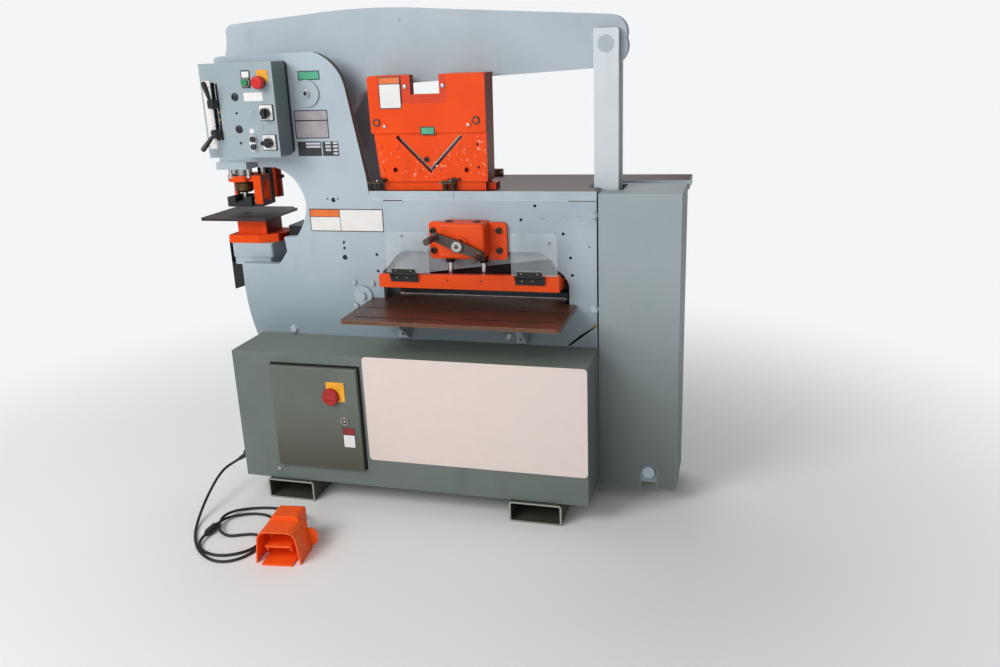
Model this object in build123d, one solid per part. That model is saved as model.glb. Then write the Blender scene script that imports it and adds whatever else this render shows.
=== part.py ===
from build123d import *
import math
import os

# Ironworker: punch at the left end, angle shear on the deck, flat-bar shear in the front plate.
# Millimetres. X runs along the machine, Y goes away from the operator, Z is up from the floor.
# Sizes are set from the middle of the front box in X and from the front plate's face in Y.

# side plates and frame
PLATE = 28.0
FRAME_WIDTH = 280.0
MID_Y = FRAME_WIDTH / 2
BODY_LEFT = -649.0
BODY_RIGHT = 596.0
BODY_FOOT_LEFT = -600.0
REAR_FOOT_RIGHT = 830.0
DECK_TOP = 1028.0
DECK_THICK = 28.0
DECK_LEFT = -150.0
DECK_DEPTH = 237.0
REAR_STRIP_BACK = 387.0
STRIP_OVERHANG = 4.0
HEAD_TOP = 1466.0
HEAD_LEFT = -661.0
THROAT_TOP = 1106.0
THROAT_LIP = 873.0
SHELF_Z = 776.0
SHELF_FOOT = 600.0

# fork pockets and front box
TUBE_HEIGHT = 71.0
TUBE_WIDTH = 172.0
TUBE_WALL = 6.0
TUBE_CENTRE = 430.0
TUBE_FRONT = -222.0
BOX_LENGTH = 1200.0
BOX_DEPTH = 209.0
BOX_TOP = 528.0
SHEET = 3.0
DOOR_WIDTH = 312.0
DOOR_HEIGHT = 358.0
DOOR_LEFT = -461.0
DOOR_BOTTOM = 131.0
DOOR_THICK = 16.0
DOOR_GAP = 0.3
PACK_Y = -BOX_DEPTH / 2
PACK_FOOT = 75.0
MOTOR_Z = 190.0
MOTOR_R = 0.45 * BOX_DEPTH
PUMP_R = 0.215 * BOX_DEPTH
VALVE_R = 22.0

# right-hand cabinet
CABINET_GAP = 6.0
CABINET_WIDTH = 251.0
CABINET_TOP = 1022.0
CABINET_BOTTOM = 47.0
CABINET_DEPTH = 231.0
CABINET_PROUD = 3.3
CABINET_SLOT_ROOM = 16.0
CABINET_SLOT_REACH = 88.0

# beam, links and lower arm
BEAM_THICK = 44.0
BEAM_PIVOT = (-336.0, 1340.0)
BEAM_PIN_R = 35.0
ARM_PIVOT = (-199.0, 676.0)
ARM_PIN_R = 30.0
LINK_X = 612.0
LINK_WIDTH = 76.0
LINK_THICK = 26.0
LINK_GAP = 2.0
LINK_TOP = 1500.0
LINK_PIN_Z = 1455.0
LINK_FOOT_Z = 768.0
LINK_PIN_R = 26.0
ROD_X = 765.0
ROD_PIN_Z = 655.0
ROD_PIN_R = 25.0
CYLINDER_PIN_Z = 110.0
CYLINDER_PIN_R = 20.0
BARREL_R = 75.0
BORE_R = 55.0
ROD_R = 40.0
PIN_CLEARANCE = 0.06
LINK_CLEARANCE = 0.6
ROD_CLEARANCE = 1.6
RUNNING = 0.3

# punch station
PUNCH_X = -688.0
RAM_PIN_Z = 1354.0
RAM_PIN_R = 20.0
RAM_WIDTH = 64.0
RAM_EAR = 18.0
GUIDE_TOP = 1240.0
GUIDE_BOTTOM = 1089.0
GUIDE_FLANGE = 25.0
RAM_FOOT = 1100.0
RAM_SHOULDER = 1292.0
COLLAR_R = 32.0
SPIGOT_R = 19.0
SPIGOT_FOOT = 1030.0
SOCKET_R = 14.0
NUT_R = 33.0
NUT_NECK_R = 25.0
NUT_FOOT = 1004.0
NUT_SHOULDER = 1035.5
NUT_TOP = 1048.0
PUNCH_R = 10.5
PUNCH_SHANK_R = 12.4
PUNCH_HEAD_R = 13.8
PUNCH_SHOULDER = 1003.0
PUNCH_TIP_Z = 958.0
DIE_R = 25.0
DIE_BORE_R = 11.0
SLUG_R = 14.0
TABLE_TOP = 929.0
TABLE_LEFT = -806.0
TABLE_RIGHT = -548.0
TABLE_CORNER = 26.0
TABLE_FRONT = 20.0
TABLE_BACK = 272.0
TABLE_THICK = 10.0
PEDESTAL_TOP = 834.0
PEDESTAL_FRONT = 62.0
HOLDER_FOOT_TOP = 862.0
STRIPPER_RING_Z = 1044.0
STRIPPER_RING_R = 53.0
STRIPPER_RING_BORE = 40.0
STRIPPER_RING_THICK = 20.0
STRIPPER_ARM_REACH = 86.0
STRIPPER_LEG = 56.0
STRIPPER_BOTTOM = 957.0
STRIPPER_THICK = 34.0
STRIPPER_FLOOR = 13.0
STRIPPER_HALF_WIDTH = 47.0
STRIPPER_HALF_DEPTH = 45.0
STRIPPER_POCKET = 36.0
STRIPPER_NOTCH = 16.0
BACK_PLATE_LEFT = 32.0
BACK_PLATE_RIGHT = 83.0
BACK_PLATE_FRONT = 186.0
BACK_PLATE_THICK = 12.0
HANGER_R = 7.0
POST_X = -614.0
POST_Y = 226.0
POST_R = 26.0
POST_TOP = 1083.0
POST_FOOT = 975.0

# angle shear
HOUSING_LEFT = -109.0
HOUSING_RIGHT = 255.0
HOUSING_LEAN = 5.0
HOUSING_TOP = 1386.0
HOUSING_FRONT = 14.0
HOUSING_BACK = 97.0
COVER_FRONT = 7.0
COVER_LEFT = -131.0
COVER_BOTTOM = 1210.0
COVER_CORNER = 11.0
HOUSING_FOOT_TOP = 1057.0
HOUSING_FOOT_FRONT = 24.0
HOUSING_FOOT_LEFT = -104.0
HOUSING_FOOT_RIGHT = 241.0
WINDOW_LEFT = 12.0
WINDOW_RIGHT = 107.0
WINDOW_FOOT = 1327.0
RECESS_LEFT = -22.0
RECESS_RIGHT = 130.0
RECESS_FOOT = 1301.0
RECESS_DEPTH = 3.0
BLADE_SLIDE_TOP = 1316.0
CLAMP_PLACES = (-126.0, 124.0)
CLAMP_Y = 6.5
CLAMP_WIDTH = 48.0
CLAMP_DEPTH = 12.0
CLAMP_HEIGHT = 31.0
ANGLE_APEX = (63.0, 1092.0)
ANGLE_LEG = 152.0
ANGLE_GAP = 12.0
BLADE_SLIDE_THICK = 26.0
DRIVE_PIN = (96.0, 1290.0)
DRIVE_PIN_R = 13.0

# flat shear
SHEAR_PLANE = 90.0
SHEAR_LEFT = -92.0
SHEAR_RIGHT = 488.0
BLADE_THICK = 27.7
SHEAR_TABLE_TOP = 669.0
SHEAR_TABLE_THICK = 12.0
SHEAR_TABLE_LEFT = -165.0
SHEAR_TABLE_RIGHT = 531.0
SHEAR_TABLE_FRONT = -270.0
BAR_LEFT = -113.0
BAR_RIGHT = 488.0
BAR_TOP = 771.0
BAR_HEIGHT = 48.0
BAR_FRONT = -60.0
BAR_WALL = 20.0
CRANK_AXIS = (176.0, 872.0)
CRANK_REACH = 78.0
CRANK_LEAN = 21.0
ROD_SPREAD = 112.0
HOLD_ROD_R = 9.0
GEARBOX_FRONT = -74.0
GEARBOX_BOSS = 9.0
GEARBOX_BOSS_R = 27.0
CRANK_SHAFT_R = 12.0
CRANK_THICK = 14.0
CRANK_END_R = 13.0
CRANK_WAIST = 17.0
HANDLE_REACH = 84.0
GUARD_THICK = 5.0
GUARD_WIDTH = 146.0
GUARD_HEIGHT = 134.0

# control box
CONTROL_LEFT = -655.0
CONTROL_WIDTH = 257.0
CONTROL_BOTTOM = 1150.0
CONTROL_HEIGHT = 293.0
CONTROL_FRONT = -100.0
CONTROL_BACK = -25.0

# foot pedal
PEDAL_X = -272.0
PEDAL_Y = -609.0
PEDAL_TURN = 7.0
PEDAL_WIDTH = 143.0
PEDAL_TOP_WIDTH = 118.0
PEDAL_HOOD = 100.0
PEDAL_LENGTH = 156.0
PEDAL_HEIGHT = 106.0
PEDAL_WALL = 4.0
PEDAL_LIP = 12.0
PEDAL_BASE_WIDTH = 96.0

# pedal cord: from the gland on the front box to the inline connector, then on to the pedal
CORD_R = 4.5
GLAND = (-600.0, -190.0, 144.0)
GLAND_TILT = 33.0
GLAND_LENGTH = 44.0
CORD_TO_CONNECTOR = [
    (-660, -190, 105), (-684, -216, 92), (-686, -264, 78), (-680, -312, 64), (-674, -360, 46),
    (-667, -404, 26), (-656, -446, 10), (-634, -494, 5), (-602, -544, 5), (-556, -597, 5),
    (-503, -633, 5), (-451, -645, 5), (-405, -622, 5), (-379, -573, 5), (-373, -510, 5),
    (-382, -440, 5), (-408, -382, 5), (-452, -350, 5), (-508, -350, 5), (-556, -380, 8),
    (-580, -418, 12),
]
CONNECTOR_ENDS = [(-580, -450, 12), (-580, -518, 12)]
CORD_TO_PEDAL = [
    (-580, -546, 12), (-564, -582, 6), (-520, -608, 5), (-464, -612, 5), (-412, -584, 5),
    (-385, -540, 5), (-391, -495, 5), (-428, -470, 5), (-470, -484, 5), (-508, -504, 6),
    (-546, -492, 12), (-570, -452, 19), (-584, -402, 18), (-570, -350, 10), (-522, -316, 5),
    (-462, -302, 5), (-398, -306, 5), (-345, -326, 10), (-312, -364, 26), (-297, -407, 36),
]


# datum: the middle of the overall plan, at floor level
def datum():
    turn = math.radians(PEDAL_TURN)
    left = TABLE_LEFT
    right = BODY_RIGHT + CABINET_GAP + CABINET_WIDTH + STRIP_OVERHANG
    front = PEDAL_Y - PEDAL_LIP * math.cos(turn) - PEDAL_BASE_WIDTH / 2 * math.sin(turn)
    back = REAR_STRIP_BACK
    return Vector((left + right) / 2, (front + back) / 2, 0)


def save(name, shape):
    export_step(shape.moved(Location(-datum())), f"parts/{name}.step")


# basic forms
def profile(start, *steps):
    """Closed outline in X and Z. A step is a point, or a pair (point on the arc, end)."""
    edges = []
    here = start
    for step in steps:
        if isinstance(step[0], tuple):
            edges.append(ThreePointArc(here, step[0], step[1]))
            here = step[1]
        else:
            edges.append(Line(here, step))
            here = step
    if (Vector(*here) - Vector(*start)).length > 1e-6:
        edges.append(Line(here, start))
    face = Face(Wire(edges))
    return face if face.normal_at().Z > 0 else -face


def slab(face, y_front, y_back):
    """An outline in X and Z made solid between two depths."""
    return Pos(0, y_back, 0) * Rot(90, 0, 0) * extrude(face, y_back - y_front)


def wall(face, x_left, x_right):
    """An outline in Y and Z made solid between two places along the machine."""
    return Pos(x_left, 0, 0) * Rot(0, 90, 90) * extrude(face, x_right - x_left)


def block(x0, x1, y0, y1, z0, z1):
    size = Box(x1 - x0, y1 - y0, z1 - z0)
    return Pos((x0 + x1) / 2, (y0 + y1) / 2, (z0 + z1) / 2) * size


def rod_y(x, z, radius, y0, y1):
    return Pos(x, (y0 + y1) / 2, z) * Rot(90, 0, 0) * Cylinder(radius, y1 - y0)


def rod_z(x, y, radius, z0, z1):
    return Pos(x, y, (z0 + z1) / 2) * Cylinder(radius, z1 - z0)


def rod_x(y, z, radius, x0, x1):
    return Pos((x0 + x1) / 2, y, z) * Rot(0, 90, 0) * Cylinder(radius, x1 - x0)


def hex_y(x, z, across, y0, y1):
    head = extrude(RegularPolygon(across / 2, 6, major_radius=False), y1 - y0)
    return Pos(x, y1, z) * Rot(90, 0, 0) * head


def group(solids):
    return Compound(children=list(solids))


# side plates
def plate_outline():
    right_foot = [
        (BODY_RIGHT, 520.0),
        (700.0, 480.0),
        (REAR_FOOT_RIGHT, 300.0),
        (REAR_FOOT_RIGHT, TUBE_HEIGHT),
    ]
    return profile(
        (BODY_FOOT_LEFT, TUBE_HEIGHT),
        (BODY_FOOT_LEFT, 430.0),
        (-622.0, 519.0),
        ((-641.0, 600.0), (BODY_LEFT, 690.0)),
        (BODY_LEFT, SHELF_Z),
        (-506.0, SHELF_Z),
        (-492.0, 790.0),
        (-469.0, 822.0),
        (-475.0, THROAT_LIP - 3),
        (-427.0, THROAT_LIP),
        ((-390.0, 936.0), (-380.0, 985.0)),
        ((-409.0, 1059.0), (-479.0, THROAT_TOP)),
        (-540.0, THROAT_TOP + 2),
        (-545.0, 1150.0),
        (HEAD_LEFT, 1235.0),
        (HEAD_LEFT, HEAD_TOP - 22),
        ((HEAD_LEFT + 6, HEAD_TOP - 8), (HEAD_LEFT + 20, HEAD_TOP - 2)),
        (-308.0, HEAD_TOP),
        ((-242.0, 1427.0), (-205.0, 1355.0)),
        (-157.0, 1078.0),
        ((-153.0, 1040.0), (DECK_LEFT, DECK_TOP - DECK_THICK)),
        (BODY_RIGHT, DECK_TOP - DECK_THICK),
        *right_foot,
    )


def shear_opening(y0, y1):
    outline = profile(
        (-125.0, 640.0),
        (-123.0, 760.0),
        (-84.0, 800.0),
        ((-70.0, 815.0), (-43.0, 832.0)),
        (415.0, 836.0),
        ((450.0, 812.0), (472.0, 778.0)),
        ((497.0, 755.0), (508.0, 725.0)),
        (508.0, 640.0),
    )
    return slab(outline, y0 - 1, y1 + 1)


def pin_holes(y0, y1):
    holes = [
        rod_y(*BEAM_PIVOT, BEAM_PIN_R + PIN_CLEARANCE, y0 - 1, y1 + 1),
        rod_y(*ARM_PIVOT, ARM_PIN_R + PIN_CLEARANCE, y0 - 1, y1 + 1),
        rod_y(ROD_X, CYLINDER_PIN_Z, CYLINDER_PIN_R + PIN_CLEARANCE, y0 - 1, y1 + 1),
    ]
    return holes


def front_plate():
    plate = slab(plate_outline(), 0, PLATE)
    plate -= shear_opening(0, PLATE)
    for hole in pin_holes(0, PLATE):
        plate -= hole
    for x, z, r in [
        (-279, 998, 8), (-256, 805, 9), (403, 983, 5), (357, 939, 5), (491, 896, 5),
        (513, 820, 5), (518, 764, 5), (-47, 880, 5), (-140, 817, 5), (-140, 761, 5),
        (447, 865, 5), (-255, 858, 4), (-255, 838, 4),
    ]:
        plate -= rod_y(x, z, r, -1, PLATE + 1)
    gap = profile((497, 530), (509, 530), (596, 601), (596, 604), (548, 573))
    plate -= slab(gap, -1, PLATE + 1)
    return plate


def rear_plate():
    back = FRAME_WIDTH
    plate = slab(plate_outline(), back - PLATE, back)
    plate -= block(-125, 508, back - PLATE - 1, back + 1, 640, 745)
    for hole in pin_holes(back - PLATE, back):
        plate -= hole
    return plate


def spacers():
    y0 = PLATE
    y1 = FRAME_WIDTH - PLATE
    under_deck = DECK_TOP - DECK_THICK
    blocks = [
        block(BODY_FOOT_LEFT, 660, y0, y1, TUBE_HEIGHT, TUBE_HEIGHT + 30),
        block(REAR_FOOT_RIGHT - 20, REAR_FOOT_RIGHT, y0, y1, TUBE_HEIGHT, 150),
        block(BODY_FOOT_LEFT, BODY_FOOT_LEFT + 25, y0, y1, TUBE_HEIGHT + 30, SHELF_FOOT),
        block(-640, -470, y0, y1, SHELF_FOOT, SHELF_Z - 19),
        block(-560, -300, y0, y1, THROAT_TOP + 14, 1200),
        block(DECK_LEFT + 10, DECK_LEFT + 50, y0, y1, under_deck - 100, under_deck),
        block(480, 520, y0, y1, under_deck - 100, under_deck),
        # lug behind the throat's lip, bolted to the rear plate
        block(-531, -440, MID_Y, y1, 842, 884),
    ]
    # filler that carries the fixed flat-shear blade, its lower edge raked
    rake = profile((-90, 740), (465, 812), (465, 875), (-90, 875))
    blocks.append(slab(rake, PLATE, SHEAR_PLANE - BLADE_THICK))
    return group(blocks)


def deck_plate():
    z0 = DECK_TOP - DECK_THICK
    strip_right = BODY_RIGHT + CABINET_GAP + CABINET_WIDTH + STRIP_OVERHANG
    deck = block(DECK_LEFT, BODY_RIGHT, 0, DECK_DEPTH, z0, DECK_TOP)
    deck += block(DECK_LEFT, strip_right, DECK_DEPTH, REAR_STRIP_BACK, z0, DECK_TOP)
    # slot that the lift links pass through
    slot_y = BEAM_THICK / 2 + LINK_GAP + LINK_THICK + 8
    slot_left = LINK_X - LINK_WIDTH / 2 - 18
    deck -= block(slot_left, BODY_RIGHT + 1, MID_Y - slot_y, MID_Y + slot_y, z0 - 1, DECK_TOP + 1)
    # drop hole under the angle shear
    deck -= block(10, 120, 20, 90, z0 - 1, DECK_TOP + 1)
    return deck


def fork_tubes():
    tubes = []
    for side in (-1, 1):
        length = FRAME_WIDTH - TUBE_FRONT
        outer = RectangleRounded(TUBE_WIDTH, TUBE_HEIGHT, 10)
        inner = RectangleRounded(TUBE_WIDTH - 2 * TUBE_WALL, TUBE_HEIGHT - 2 * TUBE_WALL, 5)
        wall = Rot(90, 0, 0) * extrude(outer - inner, length)
        tubes.append(Pos(side * TUBE_CENTRE, FRAME_WIDTH, TUBE_HEIGHT / 2) * wall)
    return group(tubes)


# front box and its door
def base_box():
    left = -BOX_LENGTH / 2
    right = BOX_LENGTH / 2
    z0 = TUBE_HEIGHT + 1
    shell = block(left, right, -BOX_DEPTH, 0, z0, BOX_TOP)
    shell -= block(left + SHEET, right - SHEET, -BOX_DEPTH + SHEET, -SHEET, z0 + SHEET, BOX_TOP - SHEET)
    door_right = DOOR_LEFT + DOOR_WIDTH
    inset = 12
    shell -= block(
        DOOR_LEFT + inset, door_right - inset, -BOX_DEPTH - 1, -BOX_DEPTH + SHEET + 1,
        DOOR_BOTTOM + inset, DOOR_BOTTOM + DOOR_HEIGHT - inset)
    # bulkhead between the electrical side and the hydraulic side
    shell += block(-110, -107, -BOX_DEPTH + SHEET, -SHEET, z0 + SHEET, BOX_TOP - SHEET)
    return shell


def electrical_door():
    front = -BOX_DEPTH - DOOR_GAP - DOOR_THICK
    back = -BOX_DEPTH - DOOR_GAP
    right = DOOR_LEFT + DOOR_WIDTH
    top = DOOR_BOTTOM + DOOR_HEIGHT
    door = block(DOOR_LEFT, right, front, back, DOOR_BOTTOM, top)
    door = chamfer(door.faces().sort_by(Axis.Y)[0].edges(), 3)
    wall = 2.5
    door -= block(DOOR_LEFT + wall, right - wall, front + wall, back + 1, DOOR_BOTTOM + wall, top - wall)
    door -= rod_y(-241, 394, 8, front - 1, back + 1)
    door -= rod_y(-202, 309, 8, front - 1, back + 1)
    return door


def disconnect_knob():
    face = -BOX_DEPTH - DOOR_GAP - DOOR_THICK
    knob = rod_y(-241, 394, 26, face - 18, face - 0.3)
    knob += block(-241 - 7, -241 + 7, face - 36, face - 17, 394 - 26, 394 + 26)
    knob += rod_y(-241, 394, 7.9, face - 1, face + 30)
    return knob


def door_lock():
    face = -BOX_DEPTH - DOOR_GAP - DOOR_THICK
    lock = rod_y(-202, 309, 13, face - 4, face - 0.3)
    lock += rod_y(-202, 309, 7.9, face - 1, face + 25)
    # cam, turned up, that swings behind the box's edge
    lock += block(-202 - 7, -202 + 7, face + 21, face + 25, 309 - 7, 309 + 45)
    return lock


# right-hand cabinet cover
def end_cabinet():
    left = BODY_RIGHT + CABINET_GAP
    right = left + CABINET_WIDTH
    back = CABINET_DEPTH - CABINET_PROUD
    shell = block(left, right, -CABINET_PROUD, back, CABINET_BOTTOM, CABINET_TOP)
    shell -= block(left - 1, right - SHEET, -CABINET_PROUD + SHEET, back - SHEET, CABINET_BOTTOM - 1,
                   CABINET_TOP - SHEET)
    # slot for the lift links
    slot_y = BEAM_THICK / 2 + LINK_GAP + LINK_THICK + CABINET_SLOT_ROOM
    shell -= block(left - 1, LINK_X + CABINET_SLOT_REACH, MID_Y - slot_y, MID_Y + slot_y, CABINET_TOP - SHEET - 1, CABINET_TOP + 1)
    # arched notch round the cylinder's lower pin
    notch_r = CYLINDER_PIN_R + 6
    notch = rod_y(ROD_X, CYLINDER_PIN_Z, notch_r, -CABINET_PROUD - 1, 0)
    notch += block(ROD_X - notch_r, ROD_X + notch_r, -CABINET_PROUD - 1, 0, CABINET_BOTTOM - 1, CYLINDER_PIN_Z)
    shell -= notch
    shell -= block(REAR_FOOT_RIGHT - 300, REAR_FOOT_RIGHT + 2, back - SHEET - 1, back + 1, 20, 520)
    return shell


# beam, links, arm
BEAM_FRONT = MID_Y - BEAM_THICK / 2
BEAM_BACK = MID_Y + BEAM_THICK / 2


def upper_beam():
    outline = profile(
        (PUNCH_X + 26, RAM_PIN_Z - 38),
        ((PUNCH_X - 18, RAM_PIN_Z - 42), (PUNCH_X - 46, RAM_PIN_Z)),
        ((-735.0, 1390.0), (-700.0, 1440.0)),
        ((-686.0, 1470.0), (-674.0, 1530.0)),
        ((-668.0, 1555.0), (-645.0, 1565.0)),
        (-369.0, 1584.0),
        ((-110.0, 1592.0), (80.0, 1580.0)),
        (491.0, 1549.0),
        (622.0, 1539.0),
        ((660.0, 1519.0), (669.0, 1470.0)),
        ((664.0, 1415.0), (647.0, 1398.0)),
        (568.0, 1385.0),
        (364.0, 1376.0),
        (226.0, 1371.0),
        (DRIVE_PIN[0] + 24, 1365.0),
        (DRIVE_PIN[0] + 24, DRIVE_PIN[1] - 22),
        (DRIVE_PIN[0] - 24, DRIVE_PIN[1] - 22),
        (DRIVE_PIN[0] - 24, 1363.0),
        (-149.0, 1353.0),
        ((-190.0, 1335.0), (-232.0, 1288.0)),
        ((-280.0, 1241.0), (-352.0, 1233.0)),
        (-470.0, 1262.0),
    )
    beam = slab(outline, BEAM_FRONT, BEAM_BACK)
    beam -= rod_y(*BEAM_PIVOT, BEAM_PIN_R + PIN_CLEARANCE, BEAM_FRONT - 1, BEAM_BACK + 1)
    beam -= rod_y(PUNCH_X, RAM_PIN_Z, RAM_PIN_R + PIN_CLEARANCE, BEAM_FRONT - 1, BEAM_BACK + 1)
    beam -= rod_y(LINK_X, LINK_PIN_Z, LINK_PIN_R, BEAM_FRONT - 1, BEAM_BACK + 1)
    # drive pin that lifts the angle-shear blade
    beam += rod_y(*DRIVE_PIN, DRIVE_PIN_R, HOUSING_FRONT + 30, BEAM_FRONT)
    return beam


def link_bars():
    bars = []
    foot_r = LINK_WIDTH / 2
    for y0 in (BEAM_FRONT - LINK_GAP - LINK_THICK, BEAM_BACK + LINK_GAP):
        y1 = y0 + LINK_THICK
        bar = block(LINK_X - foot_r, LINK_X + foot_r, y0, y1, LINK_FOOT_Z, LINK_TOP)
        bar = fillet(bar.faces().sort_by(Axis.Z)[-1].edges().filter_by(Axis.Y), 8)
        bar += rod_y(LINK_X, LINK_FOOT_Z, foot_r, y0, y1)
        bar -= rod_y(LINK_X, LINK_PIN_Z, LINK_PIN_R + PIN_CLEARANCE, y0 - 1, y1 + 1)
        bar -= rod_y(LINK_X, LINK_FOOT_Z, LINK_PIN_R + LINK_CLEARANCE, y0 - 1, y1 + 1)
        bars.append(bar)
    return group(bars)


def beam_pins():
    link_reach = BEAM_THICK / 2 + LINK_GAP + LINK_THICK
    ram_reach = BEAM_THICK / 2 + LINK_GAP + RAM_EAR
    return group([
        rod_y(LINK_X, LINK_PIN_Z, LINK_PIN_R, MID_Y - link_reach, MID_Y + link_reach),
        rod_y(PUNCH_X, RAM_PIN_Z, RAM_PIN_R, MID_Y - ram_reach, MID_Y + ram_reach),
    ])


def lower_arm():
    px, pz = ARM_PIVOT
    outline = profile(
        (px - 70, pz - 62),
        ((px - 94, pz), (px - 60, pz + 70)),
        ((px, pz + 93), (px + 62, pz + 66)),
        (px + 90, 634.0),
        (SHEAR_RIGHT + 12, 612.0),
        (LINK_X - 58, 700.0),
        (LINK_X - 52, LINK_FOOT_Z),
        ((LINK_X, LINK_FOOT_Z + 52), (LINK_X + 50, LINK_FOOT_Z + 8)),
        (ROD_X - 12, ROD_PIN_Z + 56),
        ((ROD_X + 56, ROD_PIN_Z), (ROD_X - 6, ROD_PIN_Z - 56)),
        (LINK_X, 585.0),
        (300.0, 512.0),
        (0.0, 520.0),
    )
    arm = slab(outline, BEAM_FRONT, BEAM_BACK)
    arm -= rod_y(*ARM_PIVOT, ARM_PIN_R + PIN_CLEARANCE, BEAM_FRONT - 1, BEAM_BACK + 1)
    arm -= rod_y(LINK_X, LINK_FOOT_Z, LINK_PIN_R, BEAM_FRONT - 1, BEAM_BACK + 1)
    arm -= rod_y(ROD_X, ROD_PIN_Z, ROD_PIN_R, BEAM_FRONT - 1, BEAM_BACK + 1)
    return arm


def arm_pins():
    reach = BEAM_THICK / 2 + LINK_GAP + LINK_THICK
    return group([
        rod_y(LINK_X, LINK_FOOT_Z, LINK_PIN_R, MID_Y - reach, MID_Y + reach),
        rod_y(ROD_X, ROD_PIN_Z, ROD_PIN_R, MID_Y - reach, MID_Y + reach),
    ])


def pivot_pins():
    back = FRAME_WIDTH + 8
    beam_pin = rod_y(*BEAM_PIVOT, BEAM_PIN_R, -6, back)
    beam_pin += rod_y(*BEAM_PIVOT, 42, -6, -0.3)
    beam_pin += hex_y(*BEAM_PIVOT, 22, -14, -6)
    arm_pin = rod_y(*ARM_PIVOT, ARM_PIN_R, -8, back)
    arm_pin += rod_y(*ARM_PIVOT, 32.5, -8, -0.3)
    arm_pin += hex_y(*ARM_PIVOT, 24, -18, -8)
    lower = rod_y(ROD_X, CYLINDER_PIN_Z, CYLINDER_PIN_R, -16, back)
    lower = chamfer(lower.faces().sort_by(Axis.Y)[0].edges(), 2)
    return group([beam_pin, arm_pin, lower])


# hydraulic cylinder
def cylinder_barrel():
    barrel = rod_z(ROD_X, MID_Y, BARREL_R, 170, 500)
    barrel += rod_z(ROD_X, MID_Y, BARREL_R + 8, 470, 500)
    barrel += rod_z(ROD_X, MID_Y, BARREL_R + 6, 170, 192)
    eye = rod_y(ROD_X, CYLINDER_PIN_Z, 34, MID_Y - 30, MID_Y + 30)
    eye += block(ROD_X - 34, ROD_X + 34, MID_Y - 30, MID_Y + 30, CYLINDER_PIN_Z, 172)
    barrel += eye
    barrel -= rod_y(ROD_X, CYLINDER_PIN_Z, CYLINDER_PIN_R + PIN_CLEARANCE, MID_Y - 31, MID_Y + 31)
    barrel -= rod_z(ROD_X, MID_Y, BORE_R, 192, 470)
    barrel -= rod_z(ROD_X, MID_Y, ROD_R + PIN_CLEARANCE, 469, 501)
    return barrel


def cylinder_rod():
    rod = rod_z(ROD_X, MID_Y, ROD_R, 200, 575)
    rod += rod_z(ROD_X, MID_Y, BORE_R - PIN_CLEARANCE, 200, 240)
    half = BEAM_THICK / 2 + LINK_GAP
    outer = half + LINK_THICK
    fork = block(ROD_X - 44, ROD_X + 44, MID_Y - outer, MID_Y + outer, 565, ROD_PIN_Z)
    fork += rod_y(ROD_X, ROD_PIN_Z, 44, MID_Y - outer, MID_Y + outer)
    fork -= block(ROD_X - 50, ROD_X + 50, MID_Y - half, MID_Y + half, 588, ROD_PIN_Z + 60)
    fork -= rod_y(ROD_X, ROD_PIN_Z, ROD_PIN_R + ROD_CLEARANCE, MID_Y - outer - 1, MID_Y + outer + 1)
    return rod + fork


# power pack inside the front box
def motor():
    body = rod_x(PACK_Y, MOTOR_Z, MOTOR_R - 8, 170, 440)
    body += rod_x(PACK_Y, MOTOR_Z, MOTOR_R, 150, 172)
    body += rod_x(PACK_Y, MOTOR_Z, MOTOR_R - 4, 438, 470)
    body += block(200, 420, PACK_Y - MOTOR_R + 26, PACK_Y + MOTOR_R - 26, PACK_FOOT, MOTOR_Z - 60)
    return body


def pump():
    body = rod_x(PACK_Y, MOTOR_Z, PUMP_R, 80, 149.7)
    body += block(40, 80, PACK_Y - PUMP_R + 5, PACK_Y + PUMP_R - 5, MOTOR_Z - 40, MOTOR_Z + 40)
    return body


def oil_tank():
    tank = block(60, BOX_LENGTH / 2 - 10, -BOX_DEPTH + 11, -10, 330, BOX_TOP - SHEET - RUNNING)
    return fillet(tank.edges().filter_by(Axis.Z), 12)


def valve_block():
    half = PUMP_R + 10
    body = block(-60, 20, PACK_Y - half, PACK_Y + half, PACK_FOOT, 330)
    body += rod_x(PACK_Y, 300, VALVE_R, 20, 70)
    body += rod_x(PACK_Y, 300, VALVE_R, -100, -60)
    return body


def contactor_panel():
    panel = block(-440, -170, -8, -SHEET, 150, 470)
    panel += block(-420, -330, -70, -8, 360, 450)
    panel += block(-310, -240, -80, -8, 340, 450)
    panel += block(-225, -185, -60, -8, 360, 450)
    panel += block(-420, -190, -50, -8, 200, 260)
    return panel


# punch station
def ram_guide():
    y0 = MID_Y - 65
    y1 = MID_Y + 65
    guide = block(PUNCH_X - 62, PUNCH_X + 56, y0, y1, GUIDE_BOTTOM, GUIDE_BOTTOM + GUIDE_FLANGE)
    guide += block(PUNCH_X - 56, -560, MID_Y - 50, MID_Y + 50, GUIDE_BOTTOM + GUIDE_FLANGE, GUIDE_TOP)
    guide += block(-640, -560, PLATE, FRAME_WIDTH - PLATE, 1165, GUIDE_TOP)
    half = RAM_WIDTH / 2 + PIN_CLEARANCE
    guide -= block(PUNCH_X - half, PUNCH_X + half, MID_Y - half, MID_Y + half, GUIDE_BOTTOM - 1, GUIDE_TOP + 1)
    return guide


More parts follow.
